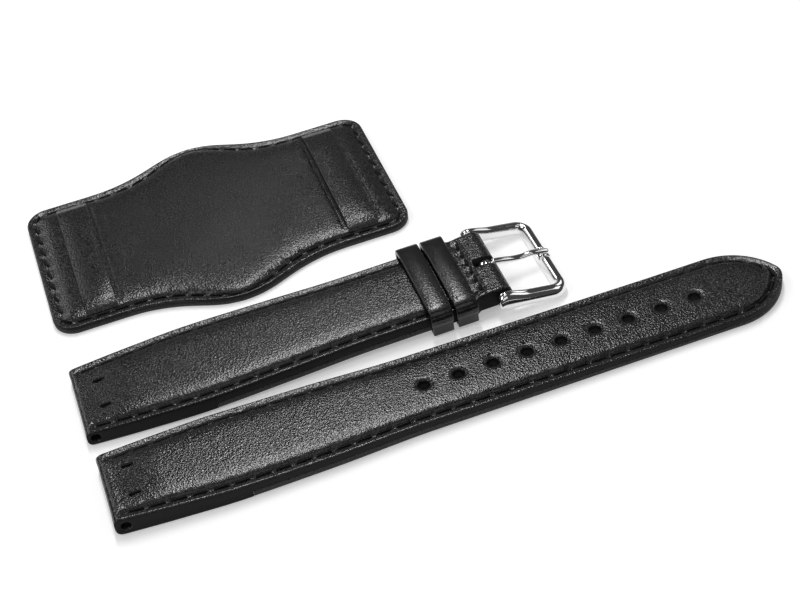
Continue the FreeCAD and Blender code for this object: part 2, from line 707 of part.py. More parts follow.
def build_long_half():
    lug, mid, thin = D("long_edge_lug"), D("long_edge_mid"), D("long_edge_tip")
    far_end = D("tip_end") + 2
    lining, lining_tip = D("lining"), D("long_lining_tip")
    felt_end = D("hole_first") - D("felt_past_flap")
    sheet_side = [
        (LONG_NOSE, lug), (LONG_NOSE, ZERO), (D("tail"), ZERO), (D("tail"), lining), (felt_end, lining),
        (D("long_thin_from"), lining_tip), (far_end, lining_tip), (far_end, thin),
        (D("long_thin_from"), thin), (D("long_mid"), mid)]
    body = slab("long_sheet", sheet_side, WIDE, {0: (LONG_NOSE, True)})
    body = common("long_trimmed", body, long_plan("long_outline", 0.0))
    tops = (lug + D("long_crown"), mid + D("long_crown"), thin + D("long_crown_tip"))
    start, sunk = D("panel_start"), D("panel_end")
    panel_side = [(start, lug - sunk), (D("long_mid"), mid - sunk), (D("long_thin_from"), thin - sunk),
                  (far_end, thin - sunk), (far_end, tops[2]), (D("long_thin_from"), tops[2]),
                  (D("long_mid"), tops[1]), (D("panel_ramp"), tops[0] - 0.05), (start, lug - 0.1)]
    sloped = long_plan("long_panel_outline", D("panel_foot"), start, lug + D("long_crown") * 2)
    sloped.TaperAngle = -N("panel_slope")
    panel = common("long_panel", slab("long_panel_block", panel_side, WIDE), sloped)
    body = fuse("long_padded", body, panel)
    skin = D("skin")
    fall = (tops[1] - tops[2]) * ((felt_end - D("long_mid")) / (D("long_thin_from") - D("long_mid")))
    felt_side = [(D("flare_one") / 2, lining), (felt_end, lining), (felt_end, tops[1] - fall - skin),
                 (D("long_mid"), tops[1] - skin), (D("flare_one") / 2, tops[0] - skin)]
    felt = common("long_felt_sheet", slab("long_felt_block", felt_side, WIDE),
                  long_plan("long_felt_outline", D("felt_inset")))
    body = cut("long_hollow", body, felt)
    filler = copy_of("long_felt_piece", felt)
    body = cut("long_lug_open", body,
               cross_rod("long_lug_rod", D("lug_tunnel"), LONG_NOSE, LONG_NOSE, D("long_flare_two")))
    punches = []
    for index in range(int(N("hole_count"))):
        punch = doc.addObject("Part::Cylinder", f"punch_{index + 1}")
        bind(punch, "Radius", D("hole_radius"))
        punch.Height = DEEP
        along = N("hole_first") + index * N("hole_pitch")
        punch.Placement = FreeCAD.Placement(V(along, 0, -1), FreeCAD.Rotation())
        punches.append(punch)
    holes = doc.addObject("Part::MultiFuse", "long_holes")
    holes.Shapes = punches
    lining_side = [(D("tail"), ZERO), (far_end, ZERO), (far_end, lining_tip),
                   (D("long_thin_from"), lining_tip), (felt_end, lining), (D("tail"), lining)]
    under = common("long_lining_sheet", slab("long_lining_block", lining_side, WIDE),
                   long_plan("long_lining_outline", 0.0))
    body = cut("long_punched", body, holes)
    under = cut("long_lining_punched", under, holes)

    inset = N("seam_inset")
    side = [V(number(a), number(b), 0) for a, b in side_corners("long", inset)]
    side[0] = V(N("long_edge_lug"), side[0].y, 0)
    side.append(V(N("tip_shoulder"), N("long_body") - inset, 0))
    radius = N("tip_arc") - inset
    drop = N("tip_arc") - N("long_body")
    meet = math.degrees(math.asin(drop / radius))
    side += arc_points(V(N("tip_shoulder"), -drop, 0), radius, 90, meet, 12)[1:]
    mirror = [V(p.x, -p.y, 0) for p in side]
    spots = walk(side, N("stitch_pitch"), 0.4) + walk(mirror, N("stitch_pitch"), 0.4)[:-1]
    comb = stitch_comb("long_comb", spots, N("stitch_long"), N("stitch_wide"))
    high = D("stitch_high")
    thread_side = [(LONG_NOSE, lug), (D("long_mid"), mid), (D("long_thin_from"), thin), (far_end, thin),
                   (far_end, thin + high), (D("long_thin_from"), thin + high), (D("long_mid"), mid + high),
                   (LONG_NOSE, lug + high)]
    thread = common("long_thread", comb, slab("long_thread_slab", thread_side, WIDE))
    tacks = [(V(N("tack_from_end") + N("tack_long") / 2, flip * N("tack_apart") / 2, 0), 0.0)
             for flip in (1, -1)]
    tack_side = [(D("panel_ramp"), tops[0] - 0.05), (D("long_mid"), tops[1]),
                 (D("long_mid"), tops[1] + high), (D("panel_ramp"), tops[0] - 0.05 + high)]
    tack = common("long_tack", stitch_comb("long_tack_comb", tacks, N("tack_long"), N("tack_wide")),
                  slab("long_tack_slab", tack_side, WIDE))
    return {"long_top_leather": body, "long_lining": under, "long_filler": filler,
            "long_stitching": thread, "long_lug_tacks": tack}


for label, item in build_long_half().items():
    place(item, label, LONG_ORIGIN)


# Pad: two leathers sewn round the edge, thin felt between, two bands across
def pad_sheet(body, name, inset, thickness, low, cornered=False):
    """Flat sheet with the pad's outline, drawn in by inset, its under face at height low."""
    length = D("pad_length") / 2 - inset
    width = D("pad_end_width") / 2 - inset
    bulge = D("pad_flare_radius") - inset
    centre = D("pad_middle_width") / 2 - D("pad_flare_radius")
    flat = body_sketch(body, name + "_oblong", "XY_Plane")
    flat.AttachmentOffset = FreeCAD.Placement(V(0, 0, low), FreeCAD.Rotation())
    outline(flat, box_corners(-length, length, -width, width))
    pad_feature(body, name + "_oblong_sheet", flat, thickness)
    doc.recompute()
    for side, word in ((1, "far"), (-1, "near")):
        round_plan = body_sketch(body, f"{name}_{word}_bulge", "XY_Plane")
        round_plan.AttachmentOffset = FreeCAD.Placement(V(0, 0, low), FreeCAD.Rotation())
        middle = V(0, side * number(centre), 0)
        round_plan.addGeometry(Part.Circle(middle, V(0, 0, 1), number(bulge)), False)
        rule = round_plan.addConstraint(Sketcher.Constraint("Radius", 0, number(bulge)))
        bind(round_plan, f"Constraints[{rule}]", bulge)
        rule = round_plan.addConstraint(Sketcher.Constraint("DistanceY", 0, 3, middle.y))
        bind(round_plan, f"Constraints[{rule}]", centre * side)
        round_plan.addConstraint(Sketcher.Constraint("DistanceX", 0, 3, 0.0))
        pad_feature(body, f"{name}_{word}_sheet", round_plan, thickness)
        doc.recompute()
    if cornered:
        return body
    top = low + number(thickness)
    upright = lambda e: (e.BoundBox.ZLength > 0.01 and e.BoundBox.XLength < 0.01
                         and e.BoundBox.YLength < 0.01 and abs(e.BoundBox.ZMax - top) < 0.01)
    edge_x = number(length) - 0.05
    round_edges(body, name + "_corners", D("pad_corner") - inset,
                lambda e: upright(e) and abs(e.CenterOfMass.x) > edge_x)
    round_edges(body, name + "_waist", D("pad_flare_radius") + inset,
                lambda e: upright(e) and 2 < abs(e.CenterOfMass.x) < edge_x - 10)
    return body


def build_pad():
    under = doc.addObject("PartDesign::Body", "pad_under")
    lining = pad_sheet(under, "pad_under", ZERO, D("pad_lining"), 0.0)
    flange = pad_sheet(doc.addObject("PartDesign::Body", "pad_upper"), "pad_upper", ZERO,
                       D("pad_edge") - D("pad_lining"), N("pad_lining"))
    crown = pad_sheet(doc.addObject("PartDesign::Body", "pad_raised"), "pad_raised", D("panel_inset"),
                      D("pad_crown") + 0.3, N("pad_edge") - 0.3)
    top = N("pad_edge") + N("pad_crown")
    round_edges(crown, "pad_raised_bevel", D("panel_bevel"), lambda e: e.BoundBox.ZMin > top - 0.01,
                "Chamfer", "Size")
    felt = pad_sheet(doc.addObject("PartDesign::Body", "pad_felt_body"), "pad_felt", D("felt_inset"),
                     D("pad_felt"), N("pad_lining"), True)
    doc.recompute()
    upper = fuse("pad_crowned", flange, crown)
    upper = cut("pad_hollow", upper, felt)
    felt_piece = copy_of("pad_felt_piece", felt)
    return upper, lining, felt_piece


PAD_ORIGIN = V(N("pad_place_x"), N("pad_place_y"), 0)
pad_upper, pad_lining, pad_felt = build_pad()
place(pad_upper, "pad_top_leather", PAD_ORIGIN)
place(pad_lining, "pad_lining", PAD_ORIGIN)
place(pad_felt, "pad_filler", PAD_ORIGIN)


def cross_band(name, along):
    """Leather band across the pad, its ends flat, its middle standing a little off the pad."""
    body = doc.addObject("PartDesign::Body", name)
    half = D("loop_span") / 2
    low = D("pad_edge") + D("pad_crown")
    gap = D("loop_gap")
    skin = D("loop_leather")
    foot = half - D("loop_foot")
    ramp = foot - D("loop_ramp")
    under = [(-half, low), (-foot, low), (-ramp, low + gap), (ramp, low + gap), (foot, low), (half, low)]
    over = [(across, up + skin) for across, up in reversed(under)]
    sketch = body_sketch(body, name + "_profile", "YZ_Plane")
    outline(sketch, under + over)
    pad_feature(body, name + "_band", sketch, D("loop_width"), True)
    place(body, name, PAD_ORIGIN + V(along, 0, 0))


loop_along = N("pad_length") / 2 - N("loop_from_end")
cross_band("pad_loop_left", -loop_along)
cross_band("pad_loop_right", loop_along)


def pad_seam():
    """The seam's line inside the edge, as points, one quarter mirrored to the whole."""
    inset = N("seam_inset")
    length = N("pad_length") / 2 - inset
    width = N("pad_end_width") / 2 - inset
    corner = N("pad_corner") - inset
    crest = N("pad_flare_radius") - inset
    hollow = N("pad_flare_radius") + inset
    rise = N("pad_middle_width") / 2 - inset - width
    lean = math.degrees(math.acos(1 - rise / (crest + hollow)))
    foot = (crest + hollow) * math.sin(math.radians(lean))
    quarter = [V(length, 0, 0)]
    quarter += arc_points(V(length - corner, width - corner, 0), corner, 0, 90, 6)
    quarter += arc_points(V(foot, width + hollow, 0), hollow, -90, -90 - lean, 6)
    top = N("pad_middle_width") / 2 - N("pad_flare_radius")
    quarter += arc_points(V(0, top, 0), crest, 90 - lean, 90, 6)[1:]
    half = quarter + [V(-p.x, p.y, 0) for p in reversed(quarter[:-1])]
    return half + [V(p.x, -p.y, 0) for p in reversed(half[:-1])]


spots = walk(pad_seam(), N("stitch_pitch"), 0.0)[:-1]
bars = [bar_stitch(where + V(0, 0, N("pad_edge")), turn, N("stitch_long"), N("stitch_wide"),
                   N("stitch_high")) for where, turn in spots]
place(fixed_shape("pad_thread", Part.makeCompound(bars)), "pad_stitching", PAD_ORIGIN)

# Check and write
doc.recompute()
for item in doc.Objects:
    if "Invalid" in item.State or "Error" in item.State:
        raise RuntimeError(f"{item.Name} failed: {item.State}")
os.makedirs("parts", exist_ok=True)
for label, item in parts.items():
    shape = item.Shape
    if shape.isNull() or not shape.isValid() or not shape.Solids:
        raise RuntimeError(label + " has no valid solid")
    box = shape.BoundBox
    print(f"{label:22s} solids {len(shape.Solids):3d} volume {shape.Volume:9.3f}"
          f"  x {box.XMin:7.2f} {box.XMax:7.2f}  y {box.YMin:7.2f} {box.YMax:7.2f}"
          f"  z {box.ZMin:6.2f} {box.ZMax:6.2f}")
    shape.exportStep(f"parts/{label}.step")
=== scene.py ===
# %% [markdown]
# # A black bund watch strap
# A bund strap comes in three loose pieces: a wide pad for the wrist, a short half with the buckle
# and a long half with the holes. This lesson builds them as a saddler would see them, each leather
# with its own edges, groove and thread, on top of a frame that already has the true sizes.
# The first cell loads that frame. Everything is measured in metres, with the table at Z = 0.

# %% Load the frame
import math
import bmesh
import bpy
import numpy as np
from mathutils import Matrix, Vector
from mathutils.geometry import delaunay_2d_cdt


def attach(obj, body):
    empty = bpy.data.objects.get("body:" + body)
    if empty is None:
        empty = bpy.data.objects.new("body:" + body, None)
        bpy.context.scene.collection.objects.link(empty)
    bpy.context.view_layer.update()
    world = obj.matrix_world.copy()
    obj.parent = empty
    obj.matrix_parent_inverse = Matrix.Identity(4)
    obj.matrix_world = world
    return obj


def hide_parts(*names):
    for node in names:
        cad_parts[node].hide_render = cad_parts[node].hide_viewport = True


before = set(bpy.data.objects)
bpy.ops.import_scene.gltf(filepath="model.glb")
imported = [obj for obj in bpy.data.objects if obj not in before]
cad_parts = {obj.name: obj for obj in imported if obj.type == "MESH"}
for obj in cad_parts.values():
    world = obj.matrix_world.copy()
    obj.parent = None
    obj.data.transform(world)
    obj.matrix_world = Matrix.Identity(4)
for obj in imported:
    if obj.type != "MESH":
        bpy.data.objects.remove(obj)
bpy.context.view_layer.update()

MM = 0.001

# %% [markdown]
# ## The camera
# The photograph was taken with a long lens from in front and above, and the camera was held a
# little crooked. A camera can be aimed by eye, but here its distance, height and roll were solved
# from the straps' edges and their evenly spaced holes, so the numbers are simply entered. The
# three directions of the camera become the columns of its matrix.

# %% Place the camera
TURN = -0.215                     # the table's X axis against the picture, radians
HEIGHT, ROLL = 0.74782, -0.16778  # elevation and roll of the camera, radians
DISTANCE = 322.56 * MM
LOOK_AT = Vector((-1.39, -14.2, 0)) * MM

forward = Vector((0, math.cos(HEIGHT), -math.sin(HEIGHT)))
level = Vector((1, 0, 0))
above = level.cross(forward)
right = level * math.cos(ROLL) + above * math.sin(ROLL)
up = above * math.cos(ROLL) - level * math.sin(ROLL)
table_turn = Matrix.Rotation(TURN, 3, "Z")
forward, right, up = (table_turn @ way for way in (forward, right, up))

camera = bpy.data.objects.new("camera", bpy.data.cameras.new("camera"))
bpy.context.collection.objects.link(camera)
camera.data.sensor_width = 36
camera.data.lens = 75.3
camera.data.clip_start = 0.01
camera.matrix_world = Matrix((right, up, -forward)).transposed().to_4x4()
camera.matrix_world.translation = LOOK_AT - forward * DISTANCE
bpy.context.scene.camera = camera
print("camera at", [round(c, 4) for c in camera.matrix_world.translation])

# %% [markdown]
# ## Where the pieces lie
# The pad and the long half lie flat. The short half rests on its keepers, so it rises a little
# towards the buckle, and the buckle's frame hangs from its spring bar down to the table. One
# matrix for each of them turns a drawing made flat on the bench into its place on the table.

# %% Three places on the table
KEEPER_REST = 1.1 / 66.4
RISE = math.asin(KEEPER_REST)
PAD_PLACE = Matrix.Translation((-28.7, 24.6, 0))
LONG_PLACE = Matrix.Translation((-64.9, -40.4, 0))
SHORT_PLACE = Matrix.Translation((-65.4, -16.7, 0)) @ Matrix.Rotation(-RISE, 4, "Y")
BAR_AT, BAR_UP = 81.3, 2.05
BAR = SHORT_PLACE @ Vector((BAR_AT, 0, BAR_UP))
FRAME_REACH, FRAME_HIGH = 12.9, 2.4
DROP = math.asin((BAR.z - FRAME_HIGH / 2) / FRAME_REACH)
BUCKLE_PLACE = Matrix.Translation(BAR) @ Matrix.Rotation(DROP, 4, "Y")
print("spring bar at", [round(c, 2) for c in BAR], "mm, buckle drops", round(math.degrees(DROP), 1))

# %% [markdown]
# ## Small helpers for mesh work
# Nearly everything here is a grid of points bent into a shape. One helper turns points in
# millimetres and faces into an object, welds points that meet, makes the faces look outwards and
# shades them smooth. Another runs a smooth curve through a few measured widths, because a saddler's
# pattern has no corners where the measurements happen to be taken.

# %% Mesh and curve helpers
def piece(name, points, faces, place=None):
    """One mesh object from points in millimetres."""
    data = bpy.data.meshes.new(name)
    moved = points if place is None else [place @ Vector(p) for p in points]
    data.from_pydata([Vector(p) * MM for p in moved], [], faces)
    work = bmesh.new()
    work.from_mesh(data)
    bmesh.ops.remove_doubles(work, verts=work.verts, dist=0.002 * MM)
    bmesh.ops.dissolve_degenerate(work, edges=work.edges, dist=0.001 * MM)
    bmesh.ops.recalc_face_normals(work, faces=work.faces)
    work.to_mesh(data)
    work.free()
    for face in data.polygons:
        face.use_smooth = True
    made = bpy.data.objects.new(name, data)
    bpy.context.collection.objects.link(made)
    return made


def through(stations, values, at):
    """Smooth curve through measured values, without overshoot."""
    stations, values = np.asarray(stations, float), np.asarray(values, float)
    step = np.diff(stations)
    slope = np.diff(values) / step
    bend = np.zeros(len(values))
    bend[0], bend[-1] = slope[0], slope[-1]
    for k in range(1, len(values) - 1):
        if slope[k - 1] * slope[k] > 0:
            a, b = 2 * step[k] + step[k - 1], step[k] + 2 * step[k - 1]
            bend[k] = (a + b) / (a / slope[k - 1] + b / slope[k])
    at = np.clip(np.asarray(at, float), stations[0], stations[-1])
    k = np.clip(np.searchsorted(stations, at) - 1, 0, len(step) - 1)
    t = (at - stations[k]) / step[k]
    return ((1 + 2 * t) * (1 - t) ** 2 * values[k] + t * (1 - t) ** 2 * step[k] * bend[k]
            + t * t * (3 - 2 * t) * values[k + 1] + t * t * (t - 1) * step[k] * bend[k + 1])


def ease(value, start, stop):
    """0 before start, 1 after stop, smooth between."""
    t = np.clip((np.asarray(value, float) - start) / (stop - start), 0, 1)
    return t * t * (3 - 2 * t)


def band_faces(rows, columns, closed_rows=False, closed_columns=False, first=0):
    """Four-sided faces of a grid whose points are numbered row by row."""
    faces = []
    for i in range(rows if closed_rows else rows - 1):
        for j in range(columns if closed_columns else columns - 1):
            a, b = i * columns + j, i * columns + (j + 1) % columns
            c, d = (((i + 1) % rows) * columns + (j + 1) % columns, ((i + 1) % rows) * columns + j)
            faces.append((first + a, first + b, first + c, first + d))
    return faces


print("widths between two measures:", through([0, 10], [1, 2], [0, 5, 10]))

# %% [markdown]
# ## The outline of a half
# A strap half is drawn as its far edge, from the watch end to the other end, and the near edge is
# its mirror image. For each point of the edge the direction that looks straight out of the leather
# is kept too, because everything a saddler does here, the bevel, the groove and the seam, keeps a
# constant distance from the edge. The points stand close together at the rounded watch end.

# %% Outlines of both halves
LONG_WIDTHS = ([0, 11.6, 23.3, 38.8, 58.2, 118.8], [8.2, 9.1, 9.65, 9.45, 8.73, 8.73])
SHORT_WIDTHS = ([0, 11.6, 23.3, 38.8, 55.0, 75.7, 76.9, 83.35],
                [8.95, 9.9, 10.45, 10.0, 9.4, 9.4, 8.75, 8.75])
STEP = 0.4


def edge_points(stations, widths):
    """Points (along, across) and outward directions of a far edge."""
    across = through(*widths, stations)
    nudge = 0.05
    lean = (through(*widths, stations + nudge) - through(*widths, stations - nudge)) / (2 * nudge)
    out = np.stack([-lean, np.ones_like(lean)], 1)
    out /= np.linalg.norm(out, axis=1)[:, None]
    return np.stack([stations, across], 1), out


def rolled(radius, count=9):
    """Stations round a rolled end, close together where it turns down."""
    return radius * (1 - np.cos(np.linspace(0, math.pi / 2, count)))


LONG_NOSE, SHORT_NOSE, FOLD_NOSE = 2.0, 1.65, 2.05
TAIL, SLIT = 24.4, 0.03           # where the turned tail ends and the lining begins
SHOULDER, TIP_ARC, TIP_NOSE = 118.8, 12.6, 2.9
tip_drop = TIP_ARC - 8.73
tip_run = math.sqrt((TIP_ARC - TIP_NOSE) ** 2 - tip_drop ** 2)
tip_touch = math.atan2(tip_drop, tip_run)


def stations(*runs):
    """Stations along a half, with one either side of the tail's end."""
    kept = [s for s in np.concatenate(runs) if abs(s - TAIL) > STEP / 2]
    return np.array(sorted(kept + [TAIL - SLIT, TAIL + SLIT]))


long_flat = stations(rolled(LONG_NOSE), np.arange(LONG_NOSE + STEP, SHOULDER, STEP))
long_edge, long_out = edge_points(long_flat, LONG_WIDTHS)
sweep = np.linspace(math.pi / 2, tip_touch, 36)
arc_out = np.stack([np.cos(sweep), np.sin(sweep)], 1)
turn = np.linspace(tip_touch, 0, 12)[1:]
nose_out = np.stack([np.cos(turn), np.sin(turn)], 1)
long_edge = np.concatenate([long_edge, np.array([SHOULDER, -tip_drop]) + arc_out * TIP_ARC,
                            np.array([SHOULDER + tip_run, 0]) + nose_out * TIP_NOSE])
long_out = np.concatenate([long_out, arc_out, nose_out])

fold_end = BAR_AT + FOLD_NOSE
short_flat = stations(rolled(SHORT_NOSE), np.arange(SHORT_NOSE + STEP, BAR_AT, STEP),
                      (fold_end - rolled(FOLD_NOSE))[::-1])
short_edge, short_out = edge_points(short_flat, SHORT_WIDTHS)
print("long half:", len(long_edge), "stations to", round(long_edge[-1][0], 1), "mm; short half:",
      len(short_edge), "to", round(short_edge[-1][0], 1), "mm")

# %% [markdown]
# ## The seam's path
# The thread runs 1.75 mm inside the edge with 3.8 mm from stitch to stitch. The same measure along
# that line also tells the leather where it is pulled down, so leather and thread always agree.

# %% Measure along the seam
SEAM_IN, PITCH = 1.75, 3.8


def seam_line(edge, out):
    """Points of the seam and how far along it each one is."""
    line = edge - out * SEAM_IN
    run = np.concatenate([[0], np.cumsum(np.linalg.norm(np.diff(line, axis=0), axis=1))])
    return line, run


def between(line, run, where):
    """Point and direction at a distance along the seam."""
    spot = np.array([np.interp(where, run, line[:, 0]), np.interp(where, run, line[:, 1])])
    ahead = np.array([np.interp(where + 0.2, run, line[:, 0]), np.interp(where + 0.2, run, line[:, 1])])
    behind = np.array([np.interp(where - 0.2, run, line[:, 0]), np.interp(where - 0.2, run, line[:, 1])])
    way = ahead - behind
    return spot, way / max(np.linalg.norm(way), 1e-9)


long_line, long_run = seam_line(long_edge, long_out)
short_line, short_run = seam_line(short_edge, short_out)
print("seam of the long half, one side:", round(long_run[-1], 1), "mm")

# %% [markdown]
# ## How the leather rises from its edge
# Seen in section, the upper leather starts at a bevelled edge, runs flat for about a millimetre,
# dips into the groove of the seam and then swells over the felt inside. The swelling is what makes
# a padded strap. The section is a list of distances from the edge with their heights, and at each
# stitch hole the thread pulls the groove deeper. A little waviness keeps it from looking cast.

# %% The section of a sewn edge
IN_FROM_EDGE = np.array([0.0, 0.05, 0.14, 0.3, 0.55, 0.85, 1.12, 1.35,
                         1.52, 1.66, 1.78, 1.9, 2.05, 2.25, 2.55])
EDGE_HEIGHT = np.array([-0.4, -0.2, -0.07, 0.0, -0.04, -0.11, -0.18, -0.26,
                        -0.36, -0.45, -0.48, -0.4, -0.2, 0.04, 0.25])
PULL = np.array([0, 0, 0, 0, 0, 0.01, 0.03, 0.07, 0.12, 0.16, 0.18, 0.2, 0.2, 0.14, 0.06])
RINGS = len(IN_FROM_EDGE)


def wobble(along, seed, size=1.0):
    """Slow irregular wave between about -1 and 1."""
    along = np.asarray(along, float) / size
    return (np.sin(along * 0.9 + seed) * 0.5 + np.sin(along * 2.3 + seed * 1.7) * 0.3
            + np.sin(along * 5.1 + seed * 0.6) * 0.2)


def pulled(run, first):
    """1 at a stitch hole, 0 in the middle of a stitch."""
    return np.abs(np.cos(math.pi * (run - first) / PITCH)) ** 6


print("section drawn with", RINGS, "points from edge to panel")

# %% [markdown]
# ## One leather as a closed sheet
# The sheet of a half could be a flat plane with thickness added afterwards, but then its edge could
# not be shaped. Here each station is one closed loop: over the top, down the far wall, back along
# the underside and up the near wall. Loops joined one after another give the skin. At a rolled end
# the top comes down towards the underside. The first and last loops aren't capped: where the
# outline leans outwards, as at the watch ends, a slot stays open there, which is a known fault.
# Holes are windows left open in the top and the underside, drawn together to a circle and joined
# by a wall.

# %% Build a sheet from loops
WALL = 7
ACROSS = 28
TOP = 2 * RINGS + ACROSS
SHARES = np.linspace(-1, 1, ACROSS + 2)[1:-1]


def loop_under(column):
    """The loop's point on the underside below a top column."""
    return TOP + WALL + TOP - 1 - column


class Leather:
    """A leather sheet: stations along it, each one loop round the section."""

    def __init__(self, edge, out, top, low, bottom_round=0.3):
        self.rows, self.top, self.low = len(edge), top, low
        self.loop = 2 * TOP + 2 * WALL
        self.points, self.extra, self.skip = [], [], set()
        for row, (spot, way) in enumerate(zip(edge, out)):
            rings = [spot - way * d for d in IN_FROM_EDGE]
            across = [(p[0], -p[1], k) for k, p in enumerate(rings)]
            across += [(rings[-1][0], rings[-1][1] * share, -1) for share in SHARES]
            across += [(p[0], p[1], k) for k, p in reversed(list(enumerate(rings)))]
            over = [(x, y, top(x, y, k, row)) for x, y, k in across]
            under = [[x, y, low(x)] for x, y, k in reversed(across)]
            give = min(bottom_round, max(over[0][2] - under[-1][2], 0) * 0.4)
            for k, d in enumerate(IN_FROM_EDGE):
                lift = give - math.sqrt(max(give ** 2 - max(give - d, 0) ** 2, 0))
                under[k][2] += lift
                under[-1 - k][2] += lift
            far_wall = [self.mix(over[-1], under[0], k) for k in range(WALL)]
            near_wall = [self.mix(under[-1], over[0], k) for k in range(WALL)]
            self.points += over + far_wall + [tuple(p) for p in under] + near_wall

    def mix(self, start, stop, k):
        share = (k + 1) / (WALL + 1)
        return tuple(a + (b - a) * share for a, b in zip(start, stop))

    def number(self, row, column):
        return row * self.loop + column % self.loop

    def nearest_row(self, along):
        middle = TOP // 2
        return min(range(self.rows), key=lambda row: abs(self.points[row * self.loop + middle][0] - along))

    def window(self, rows, columns):
        """Leave the faces of a window open and return its rim, point by point."""
        first, last = rows
        left, right = columns
        self.skip |= {(r, c % self.loop) for r in range(first, last) for c in range(left, right)}
        rim = [(first, c) for c in range(left, right)] + [(r, right) for r in range(first, last)]
        rim += [(last, c) for c in range(right, left, -1)] + [(r, left) for r in range(last, first, -1)]
        return [self.number(r, c) for r, c in rim]

    def join(self, one, other):
        count = len(one)
        for k in range(count):
            ahead = (k + 1) % count
            self.extra.append((one[k], one[ahead], other[ahead], other[k]))

    def ring(self, rim, spot):
        """New points, one for each of the rim's, where spot(point) puts them."""
        start = len(self.points)
        self.points += [tuple(spot(self.points[k])) for k in rim]
        return list(range(start, len(self.points)))

    def punch(self, along, across, radius, rim_shape):
        """A round hole with a pressed rim. rim_shape: (radius, depth below the surface) pairs."""
        reach = rim_shape[0][0]
        rows = (self.nearest_row(along - reach), self.nearest_row(along + reach))
        inner = self.points[rows[0] * self.loop + TOP - RINGS][1]
        wanted = [j for j, share in enumerate(SHARES) if abs(share * inner - across) <= reach]
        columns = (RINGS + wanted[0], RINGS + wanted[-1])
        upper = self.window(rows, columns)
        lower_window = (loop_under(columns[1]), loop_under(columns[0]))
        self.window(rows, lower_window)
        lower = [self.number(k // self.loop, loop_under(k % self.loop)) for k in upper]

        def on_circle(point, size, height):
            angle = math.atan2(point[1] - across, point[0] - along)
            return along + size * math.cos(angle), across + size * math.sin(angle), height

        last = upper
        for size, depth in rim_shape[1:]:
            fresh = self.ring(upper, lambda p: on_circle(p, size, self.top(*p[:2], -1, rows[0]) - depth))
            self.join(last, fresh)
            last = fresh
        foot = self.ring(upper, lambda p: on_circle(p, radius, self.low(along)))
        self.join(last, foot)
        self.join(foot, lower)

    def tunnel(self, along, height, radius, reach):
        """A round way straight through, from the near wall to the far wall."""
        rows = (self.nearest_row(along - reach), self.nearest_row(along + reach))
        far = self.window(rows, (TOP, TOP + WALL - 1))
        near_first = 2 * TOP + WALL
        self.window(rows, (near_first, near_first + WALL - 1))
        near = [self.number(k // self.loop, self.loop - 1 - (k % self.loop - TOP)) for k in far]

        def mouth(rim, size, sink):
            def spot(point):
                angle = math.atan2(point[2] - height, point[0] - along)
                side = math.copysign(1, point[1])
                return along + size * math.cos(angle), point[1] - side * sink, height + size * math.sin(angle)
            return self.ring(rim, spot)

        ends = []
        for rim in (far, near):
            lip = mouth(rim, radius + 0.12, 0.0)
            self.join(rim, lip)
            inner = mouth(rim, radius, 0.12)
            self.join(lip, inner)
            ends.append(inner)
        self.join(*ends)

    def slot(self, start, columns):
        """A slot from start to the end of the sheet."""
        first = self.nearest_row(start)
        left, right = columns
        lower = (loop_under(right), loop_under(left))
        for span in ((left, right), lower):
            self.skip |= {(row, c) for row in range(first, self.rows - 1) for c in range(*span)}
        for column in columns:
            for row in range(first, self.rows - 1):
                below = loop_under(column)
                self.extra.append((self.number(row, column), self.number(row + 1, column),
                                   self.number(row + 1, below), self.number(row, below)))
        for c in range(left, right):
            self.extra.append((self.number(first, c), self.number(first, c + 1),
                               self.number(first, loop_under(c + 1)), self.number(first, loop_under(c))))

    def finish(self, name, place):
        faces = []
        for row in range(self.rows - 1):
            for column in range(self.loop):
                if (row, column) not in self.skip:
                    faces.append((self.number(row, column), self.number(row, column + 1),
                                  self.number(row + 1, column + 1), self.number(row + 1, column)))
        return piece(name, self.points, faces + self.extra, place)


print("loop of", 2 * TOP + 2 * WALL, "points at each station")

# %% [markdown]
# ## The long half
# The upper leather is turned round the watch's spring bar at the rounded end and runs back
# underneath as a short tail. From there on a separate lining carries the underside. The strap gets
# thinner towards the tip, and the felt inside thins with it.

# %% Long half: upper leather and lining
def long_thick(along):
    return np.interp(along, [0, 29.1, 107.0, 200.0], [4.0, 3.14, 2.27, 2.27])


def long_lining_top(along):
    return np.interp(along, [TAIL, 55.5, 107.0, 200.0], [1.5, 1.5, 1.1, 1.1])


def nose(along, radius, sign, press=3.4):
    """Height of a folded end, top with +1 and underside with -1. press: 2 is round, more is squarer."""
    if along >= radius:
        return radius * (1 + sign)
    return radius * (1 + sign * max(1 - (1 - max(along, 0) / radius) ** press, 0) ** (1 / press))


def sewn_top(base, crown, inner, run, first, seed, fade, puff, bevel):
    """Height of a padded top at any point. fade: of the groove, puff: of the padding, at each station."""
    holes = pulled(run, first)
    waves = wobble(run, seed)
    rough = wobble(run * 2.7, seed + 4)

    def top(x, y, ring, row):
        level = base(x)
        if ring < 0:
            inward = max(inner[row] - abs(y), 0)
            rise = 1 - math.exp(-inward / 1.3)
            return level + puff(x) * (EDGE_HEIGHT[-1] + (crown(x) - EDGE_HEIGHT[-1]) * rise)
        shape, far_in = EDGE_HEIGHT[ring], IN_FROM_EDGE[ring]
        if far_in < 0.4:
            return level + bevel(x) * shape
        ragged = (0.03 * waves[row] + 0.025 * rough[row]) * math.exp(-(far_in - 1.6) ** 2 / 0.35)
        raised = (puff(x) if shape > 0 else fade(x)) * shape
        return level + raised + fade(x) * (ragged - PULL[ring] * holes[row])

    return top


def long_base(along):
    if along < LONG_NOSE:
        return nose(along, LONG_NOSE, 1)
    return float(long_thick(max(along, 0)))


def long_low(along):
    if along < LONG_NOSE:
        return nose(along, LONG_NOSE, -1)
    return float(long_lining_top(along)) if along > TAIL else 0.0


